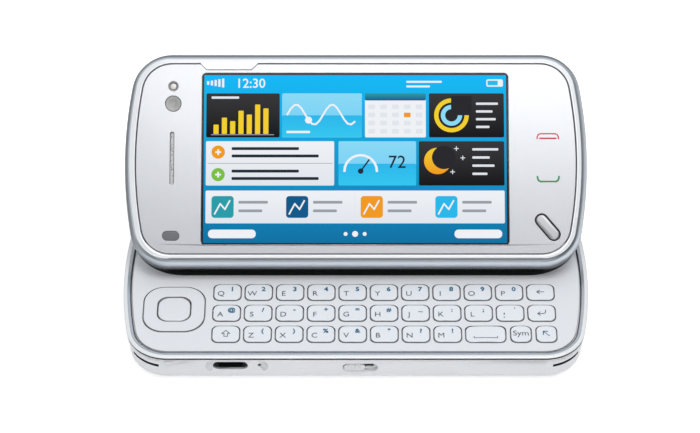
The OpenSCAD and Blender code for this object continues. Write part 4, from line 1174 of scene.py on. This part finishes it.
class SLIDER_OT_display(bpy.types.Operator):
    """Display glass with a home screen of plain tiles"""
    bl_idname = "slider_phone.display"
    bl_label = "Display"

    def execute(self, context):
        w, h = sizes().picture_width / MM, sizes().picture_height / MM
        room = GLASS_ROOM - 0.16
        bm = soft_block(w + room, h + room, 0.91, 1.1, 0.06, (*SCREEN, FACE_FOOT - 0.06))
        join(bm, soft_block(w + 4.4, 45.5, 2.6, 1.0, 0.1, (*SCREEN, FACE_FOOT - 2.65)), 1)
        stand_in("display", bm, "display_glass", ["glass", "steel"], LID)
        picture = Picture(LID_TOP - 0.048)
        self.sky(picture, w, h)
        self.status(picture)
        self.upper_tiles(picture)
        self.lower_tiles(picture)
        mesh = picture.mesh(LID @ Matrix.Translation((*SCREEN, 0)))
        mesh.materials.append(finish_of("picture"))
        piece = new_object("home_screen", mesh)
        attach(piece, "lid")
        return {"FINISHED"}

    def sky(self, pic, w, h):
        bm = bmesh.new()
        add_rectangle(bm, w, h, 8)
        pic.add(bm, "sky", "deep")

    def status(self, pic):
        for n in range(5):
            pic.tile(-37.3 + n * 0.95, 19.6, 0.55, 0.9 + n * 0.35, "white", 0.1)
        pic.figures("12:30", 3.4, -26.5, 19.4, "white", 0.03)
        pic.tile(35.4, 19.6, 4.2, 1.9, "white", 0.4)
        pic.tile(34.9, 19.6, 2.6, 1.2, "aqua", 0.2)
        pic.words(13, 19.9, [9, 6], "white", 0.5, 1.2)

    def upper_tiles(self, pic):
        # bar chart
        pic.card(-28.4, UPPER, 18.6, "coal", "black")
        for n, tall in enumerate((2.4, 4.2, 3.3, 6.0, 5.0, 7.6, 6.6)):
            pic.tile(-35.2 + n * 2.1, 6.4 + tall / 2, 1.3, tall, "yellow", 0.15)
        pic.line([(-36.4, 6.2), (-20.6, 6.2)], 0.22, "grey")
        pic.words(-36.4, 15.8, [7], "paper", 0.6)
        # wave
        pic.card(-8.4, UPPER, 20.2, "ice", "haze")
        pic.tile(-8.4, 8.4, 20.2, 5.6, "aqua", 0.3, "sea")
        wave = [(-17.2 + n * 0.9, 11.4 + 2.6 * math.sin(n * 0.62)) for n in range(20)]
        pic.line(wave, 0.45, "white")
        pic.disc(-17.2 + 5.4, 11.4 + 2.6 * math.sin(3.72), 0.9, "white")
        pic.words(-17.4, 6.9, [6], "white", 0.6)
        # month sheet
        pic.card(10.2, UPPER, 15.4, "white")
        pic.tile(10.2, 16.0, 15.4, 1.9, "teal", 0.3, "navy")
        for n in range(20):
            x, y = 4.2 + n % 5 * 3.0, 13.4 - n // 5 * 2.1
            pic.tile(x, y, 1.7, 1.2, "amber" if n == 8 else "paper", 0.2)
        # rings
        pic.card(28.2, UPPER, 19.0, "coal", "black")
        for r, tone in ((4.4, "yellow"), (3.3, "smoke"), (2.7, "ice"), (1.6, "smoke")):
            pic.disc(24.4, 11.2, r, tone)
        pic.tile(26.9, 13.7, 5.2, 5.0, "smoke", 0)
        pic.words(30.6, 14.2, [5.6, 4.2, 5.0, 3.4], "paper", 0.6, 2.0)

    def lower_tiles(self, pic):
        # list
        pic.card(-21.5, LOWER, 32.4, "white", "paper")
        pic.line([(-37.2, -1.2), (-5.8, -1.2)], 0.15, "grey")
        for y, tone in ((1.7, "amber"), (-4.1, "leaf")):
            pic.disc(-34.6, y, 1.7, tone)
            pic.tile(-34.6, y, 1.5, 0.45, "white", 0.1)
            pic.tile(-34.6, y, 0.45, 1.5, "white", 0.1)
            pic.words(-31.2, y + 0.9, [17, 22], "ink", 0.75, 1.9)
        # dial
        pic.card(5.6, LOWER, 19.6, "ice", "haze")
        pic.tile(5.6, -4.1, 19.6, 5.6, "aqua", 0.3, "sea")
        dial = [(1.4 + 4.1 * math.cos(a), -3.2 + 4.1 * math.sin(a))
                for a in (math.radians(n * 15) for n in range(13))]
        pic.line(dial, 0.6, "white")
        pic.line([(1.4, -3.2), (3.6, -0.2)], 0.4, "ink")
        pic.disc(1.4, -3.2, 0.7, "ink")
        pic.figures("72", 4.6, 10.6, -1.0, "ink", 0.02)
        # moon
        pic.card(26.9, LOWER, 21.6, "coal", "black")
        pic.disc(20.8, -0.6, 3.4, "yellow", "amber")
        pic.disc(22.4, 0.3, 3.0, "smoke")
        for x, y in ((25.6, 2.6), (24.6, -3.4), (27.2, 0.2)):
            pic.line([(x - 0.5, y), (x + 0.5, y)], 0.22, "paper")
            pic.line([(x, y - 0.5), (x, y + 0.5)], 0.22, "paper")
        pic.words(29.6, 2.4, [6.6, 4.4, 5.6, 3.8], "paper", 0.6, 2.1)
        # bottom row
        pic.tile(0, -12.4, 75.4, 8.4, "white", foot="paper")
        for n in range(4):
            x = -28.2 + n * 18.8
            pic.tile(x - 5.2, -12.4, 5.6, 5.6, ("teal", "navy", "amber", "aqua")[n], 0.8)
            pic.line([(x - 7.2, -14.2), (x - 5.8, -11.6), (x - 4.6, -13.0), (x - 3.4, -10.8)], 0.4,
                     "white")
            pic.words(x - 1.2, -11.2, [7.4, 6.0], "grey", 0.7, 2.2)
        pic.line([(0, -8.8), (0, -16.0)], 0.12, "paper")
        pic.tile(-31.0, -19.3, 12.0, 2.2, "white", 1.0)
        pic.tile(31.0, -19.3, 12.0, 2.2, "white", 1.0)
        for n in range(3):
            pic.disc(-2.4 + n * 2.4, -19.3, 0.75 if n == 1 else 0.5, "white")


class SLIDER_OT_sensors(bpy.types.Operator):
    """Lid boards, front camera, light sensor, earpiece and proximity window"""
    bl_idname = "slider_phone.sensors"
    bl_label = "Sensors"

    def execute(self, context):
        seat = foot_when_closed("lid_electronics")
        bm = soft_block(10.2, 42.6, 0.6, 0.6, 0.05, (SENSOR_X - 1.1, -0.2, seat))
        join(bm, soft_block(9.2, 30.5, 0.6, 0.6, 0.05, (MENU[0] - 0.4, -6.2, seat)), 0)
        z = seat + 0.6
        for y, r in ((CAMERA_Y, 1.95), (LIGHT_Y, 1.15)):
            join(bm, turned([(0, z), (r, z), (r, WINDOW_FOOT), (0, WINDOW_FOOT)],
                            (SENSOR_X, y, 0)), 1)
        join(bm, soft_block(3.4, 14.4, FACE_FOOT - 0.12 - z, 0.8, 0.1,
                            (SENSOR_X - 0.2, EAR_Y, z)), 1)
        join(bm, plate([pill_arcs(4.2, 2.4, SENSOR_X - 0.3, NEAR_Y)], z, WINDOW_FOOT, 0.05), 1)
        join(bm, soft_block(2.6, 2.6, MENU_SEAT - z, 1.2, 0.1, (MENU[0], MENU[1], z)), 1)
        for x, y, w, d in ((-49.5, 9, 2.2, 3), (-43.6, -8, 3, 4), (-49, -10, 2.4, 2.4)):
            join(bm, soft_block(w, d, 0.9, 0.2, 0.08, (x, y, z)), 1)
        stand_in("lid_electronics", bm, "lid_boards", ["board", "black"], LID)
        self.windows()
        return {"FINISHED"}

    def windows(self):
        top, foot = LID_TOP, WINDOW_FOOT
        bm = turned([(0, top - 0.22), (0.55, top - 0.20), (0.6, top - 0.30), (1.05, top - 0.24),
                     (1.1, top - 0.12), (1.85, top - 0.06), (1.97, top - 0.14), (1.97, foot),
                     (0, foot)], (SENSOR_X, CAMERA_Y, 0))
        dish = turned([(0, top - 0.16), (0.4, top - 0.17), (0.72, top - 0.24), (0.82, top - 0.36),
                       (0.95, top - 0.12), (1.17, top - 0.08), (1.17, foot), (0, foot)])
        paint(dish, lambda middle, normal: 1 if math.hypot(middle.x, middle.y) < 0.75 else 2)
        join(bm, move(dish, (SENSOR_X, LIGHT_Y, 0)))
        join(bm, move(plate([pill_arcs(13.5, 0.92)], -0.1, 0.1, 0.06),
                      (SENSOR_X - 0.2, EAR_Y, top - 0.62), QUARTER), 3)
        near = pill_arcs(4.22, 2.42, SENSOR_X - 0.3, NEAR_Y)
        join(bm, plate([near], foot, top - 0.06, 0.08), 4)
        finish_piece(bm, "sensor_windows", "lid",
                     ["camera_ring", "lamp", "ring", "mesh", "window"], LID)


def foot_when_closed(node):
    """Lowest height of a lid node while the lid is closed."""
    back = LID.inverted()
    return min((back @ (v.co / MM)).z for v in frame["nodes"][node].data.vertices)


class SLIDER_OT_menu_key(bpy.types.Operator):
    """Slanted menu key of polished metal"""
    bl_idname = "slider_phone.menu_key"
    bl_label = "Menu key"

    def execute(self, context):
        x, y, length, w, slant = MENU
        foot = FACE_FOOT - MENU_SINK
        bm = plate([pill_arcs(length + 0.7, w + 0.7)], foot, foot + MENU_FLANGE, 0.05)
        join(bm, plate([pill_arcs(length, w)], foot + 0.2, LID_TOP + 0.15, 0.42, 12, 4), 0)
        # the key's lower part and flange painted near black as the shade in its gap
        paint(bm, lambda middle, normal: 0 if middle.z > LID_TOP - 0.22 else 1)
        stand_in("menu_key", move(bm, (x, y, 0), math.radians(slant)), "menu_button",
                 ["key_metal", "line"], LID, 30)
        return {"FINISHED"}


# ---- edges ----
class SLIDER_OT_edge_keys(bpy.types.Operator):
    """Volume, camera and power keys and the lock switch"""
    bl_idname = "slider_phone.edge_keys"
    bl_label = "Edge keys"

    def execute(self, context):
        self.rear("volume_key", "volume_rocker", True)
        self.rear("shutter_key", "camera_key", False)
        size, middle = node_size("power_key"), node_middle("power_key")
        bm = plate([pill_arcs(size.y, size.z)], 0, size.x, 0.25, 8, 3)
        move(bm, (0, 0, 0), QUARTER)
        move(bm, (node_box("power_key")[1].x, middle.y, middle.z), -QUARTER, "Y")
        stand_in("power_key", bm, "power_button", ["satin"])
        self.lock()
        return {"FINISHED"}

    def rear(self, node, name, rocker):
        size, middle = node_size(node), node_middle(node)
        deep = size.y - (0.7 if rocker else 0)
        bm = plate([pill_arcs(size.x, size.z)], 0, deep, 0.25, 8, 3)
        if rocker:
            for side in (-1, 1):
                join(bm, move(plate([pill_arcs(1.5, 0.3)], 0, 0.06, 0.02),
                              (side * (size.x / 2 - 2.2), 0, deep - 0.02)), 1)
            join(bm, turned([(0, -1.1), (0.7, -1.1), (0.7, 1.1), (0, 1.1)], lying=True), 0)
        else:
            join(bm, turned([(0.9, deep - 0.01), (0.98, deep), (1.06, deep - 0.01),
                             (0.98, deep - 0.06)]), 1)
        move(bm, (middle.x, node_box(node)[1].y - deep, middle.z), -QUARTER, "X")
        stand_in(node, bm, name, ["satin", "line"])

    def lock(self):
        size, middle = node_size("lock_switch"), node_middle("lock_switch")
        bm = plate([pill_arcs(size.x, size.z)], 0, 0.86, 0.22, 8, 3)
        for n in range(6):
            join(bm, move(plate([pill_arcs(2.0, 0.42)], 0, 0.2, 0.08),
                          ((n - 2.5) * 0.72 - 0.2, 0.05, 0.8), QUARTER))
        # the thumb's sides and ribs painted grey as shade
        paint_sides(bm, 1, 0.8)
        join(bm, turned([(0, -1.6), (0.5, -1.6), (0.5, 0.1), (0, 0.1)]), 0)
        move(bm, (middle.x, node_box("lock_switch")[0].y + 0.98, middle.z), QUARTER, "X")
        stand_in("lock_switch", bm, "lock_slider", ["shell", "groove"])


class SLIDER_OT_ports(bpy.types.Operator):
    """Data socket, sound jack, lamp and loudspeakers"""
    bl_idname = "slider_phone.ports"
    bl_label = "Ports"

    def execute(self, context):
        def rule(middle, normal):
            """Gold in the jack, a steel tongue in a black socket, a black lamp, else mesh."""
            if middle.x < -40 and middle.y > 8:
                bore = math.hypot(middle.y - JACK[0], middle.z - JACK[1]) < JACK[2]
                return 1 if bore and abs(normal.x) < 0.5 else 0
            if middle.y < -20 and -6 < middle.x - SOCKET[0] < 5:
                tongue = abs(middle.x - SOCKET[0]) <= 2.5 and abs(middle.z - SOCKET[1]) <= 0.26
                return 0 if tongue else 2
            return 2 if middle.y < -20 and -25 < middle.x < -22 else 3
        from_node("ports_and_speakers", "sockets_and_speakers",
                  ["steel", "gold", "black", "mesh"], rule=rule)
        return {"FINISHED"}


class SLIDER_OT_underside(bpy.types.Operator):
    """Battery cover, lens cover, rear camera and screws"""
    bl_idname = "slider_phone.underside"
    bl_label = "Underside"

    def execute(self, context):
        self.battery_cover()
        self.lens_cover()
        from_node("case_screws", "screws", ["pin"], 0.05)
        self.camera()
        return {"FINISHED"}

    def battery_cover(self):
        (low, high), middle = node_box("battery_cover"), node_middle("battery_cover")
        bm = plate([box_arcs(high.x - low.x, high.y - low.y, 3)], low.z, high.z, 0.12, 8, 2)
        for n in range(6):
            ridge = plate([pill_arcs(8 - abs(n - 2.5) * 1.3, 0.4)], 0, 0.1, 0.04)
            join(bm, move(ridge, (high.x - middle.x - 4 - n * 0.85, 0, low.z - 0.04), QUARTER), 0)
        stand_in("battery_cover", move(bm, (middle.x, middle.y, 0)), "back_cover",
                 ["shell"])

    def lens_cover(self):
        (low, high), middle = node_box("lens_cover"), node_middle("lens_cover")
        w, d = high.x - low.x, high.y - low.y
        bm = soft_block(w, d - 1.0, high.z - low.z, 0.6, 0.06, (0, 0, low.z))
        join(bm, soft_block(w, d, 0.4, 0.3, 0.04, (0, 0, high.z - 0.46)), 0)
        for n in range(7):
            ridge = plate([pill_arcs(d - 4, 0.3)], 0, 0.09, 0.04)
            join(bm, move(ridge, ((n - 3) * 0.7 + 4.2, 0, low.z - 0.04), QUARTER), 0)
        stand_in("lens_cover", move(bm, (middle.x, middle.y, 0)), "lens_shutter",
                 ["satin"])

    def camera(self):
        low, high = node_box("rear_camera")
        x, r = low.x + (high.y - low.y) / 2, (high.y - low.y) / 2
        body = [(0, high.z), (3.85, high.z), (3.85, 5.1), (4.8, 5.1), (4.8, 1.9), (3.85, 1.9),
                (3.85, 1.02), (3.2, 1.0), (3.05, 1.25), (2.3, 1.45), (2.2, 1.9), (1.6, 1.95),
                (1.4, 1.65), (0.8, 1.50), (0, 1.45)]
        bm = turned(body, (x, 0, 0), steps=48)
        paint(bm, lambda middle, normal: 1 if math.hypot(middle.x - x, middle.y) < 1.5
              and middle.z < 3 else 0)
        for side in (-1, 1):
            lamp = [(0, 1.0), (0.9, 1.05), (1.2, 1.02), (1.24, 1.1), (1.24, 2.9), (0, 2.9)]
            join(bm, turned(lamp, (x + 6.4, 1.7 * side, 0)), 2)
        stand_in("rear_camera", bm, "camera_block", ["black", "lens", "lamp"])


class SLIDER_OT_inside(bpy.types.Operator):
    """Board, key mat, battery and lid back"""
    bl_idname = "slider_phone.inside"
    bl_label = "Inside"

    def execute(self, context):
        dress("main_board", "board")
        dress("keymat", "rubber")
        dress("battery", "wrap")
        lean = LID.to_3x3().inverted()
        # side walls of the lid back painted near black as the shade in the gap under the lid
        from_node("lid_back_cover", "lid_back", ["shell", "line"],
                  rule=lambda middle, normal: 1 if abs((lean @ normal).z) < 0.6 else 0)
        return {"FINISHED"}


# ---- studio ----
class SLIDER_OT_stage(bpy.types.Operator):
    """Camera, floor, world and lamps"""
    bl_idname = "slider_phone.stage"
    bl_label = "Studio"

    def execute(self, context):
        self.camera(context)
        self.floor()
        self.world(context)
        level = context.scene.phone_studio.lamp_level
        self.lamp("overhead", (0.125, -0.10, 0.90), (0.125, -0.10, 0.0), (0.56, 0.54), 3.7 * level)
        self.lamp("front", (0.0, -0.80, 0.42), (0, 0, 0.01), (0.8, 0.25), 1.7 * level)
        self.lamp("left", (-0.8, 0.0, 0.45), (0, 0, 0.01), (0.35, 0.6), 0.4 * level)
        context.scene.view_settings.view_transform = "Standard"
        return {"FINISHED"}

    def camera(self, context):
        studio = context.scene.phone_studio
        data = bpy.data.cameras.new("camera")
        camera = new_object("camera", data)
        lift = studio.camera_height
        aim = Vector((0, 0.010, 0.015))
        sight = Vector((0, -math.cos(lift), math.sin(lift)))
        camera.location = aim + studio.camera_distance * sight
        camera.rotation_euler = (QUARTER - lift, 0, 0)
        data.sensor_fit, data.angle = "HORIZONTAL", studio.camera_angle
        data.shift_x, data.shift_y = -0.0084, 0.0219
        data.clip_start = 0.01
        context.scene.camera = camera

    def floor(self):
        bm = bmesh.new()
        add_rectangle(bm, 6, 6)
        mesh = mesh_of(move(bm, (0, 0, -0.0002)), "floor")
        fin = Finish("floor paper", Roughness=0.8)
        grain = fin.noise(400, 2.0)
        fin.set("Base Color", fin.mix(grain, (0.86, 0.86, 0.86), (0.88, 0.88, 0.88)))
        rays = fin.node("ShaderNodeLightPath")
        mirrored = fin.node("ShaderNodeLightPath", out=3)
        fin.shader.inputs["Emission Strength"].default_value = 1.0
        side = fin.node("ShaderNodeSeparateXYZ", None, {0: fin.place()}).maths("ABSOLUTE", 0.0)
        glow = rays * 0.5 + mirrored * fin.ramp(side * 4, (0.15, 0.5), (0.5, 0.05))
        fin.set("Emission Color", fin.node("ShaderNodeCombineColor", None,
                                           {"Red": glow, "Green": glow, "Blue": glow}))
        mesh.materials.append(fin.mat)
        new_object("floor", mesh)

    def world(self, context):
        world = bpy.data.worlds.new("studio")
        world.use_nodes = True
        sky = Tree(world.node_tree)
        spot = sky.node("ShaderNodeTexCoord")
        up, back = (sky.node("ShaderNodeSeparateXYZ", None, {0: spot}, out) for out in (2, 1))
        light = sky.ramp(up + back * 0.45, (0.0, 0.15), (0.35, 0.30), (0.75, 0.55), (1.0, 0.70))
        seen = sky.node("ShaderNodeLightPath")
        level = light * context.scene.phone_studio.lamp_level
        background = sky.first("BACKGROUND")
        sky.feed(background.inputs["Color"], (0.94, 0.97, 1.0))
        sky.feed(background.inputs["Strength"], level + seen * (1 - level))
        context.scene.world = world

    def lamp(self, name, spot, aim, size, power):
        data = bpy.data.lights.new(name, "AREA")
        data.shape, data.size, data.size_y, data.energy = "RECTANGLE", size[0], size[1], power
        lamp = new_object(name, data)
        lamp.location = spot
        lamp.rotation_euler = (Vector(aim) - Vector(spot)).to_track_quat("-Z", "Y").to_euler()


STEPS = (SLIDER_OT_stage, SLIDER_OT_base_shell, SLIDER_OT_base_trim, SLIDER_OT_deck,
         SLIDER_OT_keys, SLIDER_OT_direction_pad, SLIDER_OT_slide, SLIDER_OT_lid_frame,
         SLIDER_OT_face_plate, SLIDER_OT_display, SLIDER_OT_sensors, SLIDER_OT_menu_key,
         SLIDER_OT_edge_keys, SLIDER_OT_ports, SLIDER_OT_underside, SLIDER_OT_inside)


class SLIDER_PT_panel(bpy.types.Panel):
    """Lists the phone's sizes, colours and pieces"""
    bl_idname = "SLIDER_PT_panel"
    bl_label = "Slider phone"
    bl_space_type = "VIEW_3D"
    bl_region_type = "UI"
    bl_category = "Slider phone"

    def draw(self, context):
        scene = context.scene
        for group in (scene.phone_sizes, scene.phone_colours, scene.phone_studio):
            box = self.layout.box()
            for name in group.bl_rna.properties.keys():
                if name not in {"rna_type", "name"}:
                    box.prop(group, name)
        for step in STEPS:
            self.layout.operator(step.bl_idname)


GROUPS = {"phone_sizes": PhoneSizes, "phone_colours": PhoneColours, "phone_studio": PhoneStudio}


def register():
    for cls in (*GROUPS.values(), *STEPS, SLIDER_PT_panel):
        bpy.utils.register_class(cls)
    for name, group in GROUPS.items():
        setattr(bpy.types.Scene, name, bpy.props.PointerProperty(type=group))


def unregister():
    for name in GROUPS:
        delattr(bpy.types.Scene, name)
    for cls in (SLIDER_PT_panel, *reversed(STEPS), *GROUPS.values()):
        bpy.utils.unregister_class(cls)


def main():
    register()
    for step in STEPS:
        group, name = step.bl_idname.split(".")
        getattr(getattr(bpy.ops, group), name)()


if __name__ == "__main__":
    main()
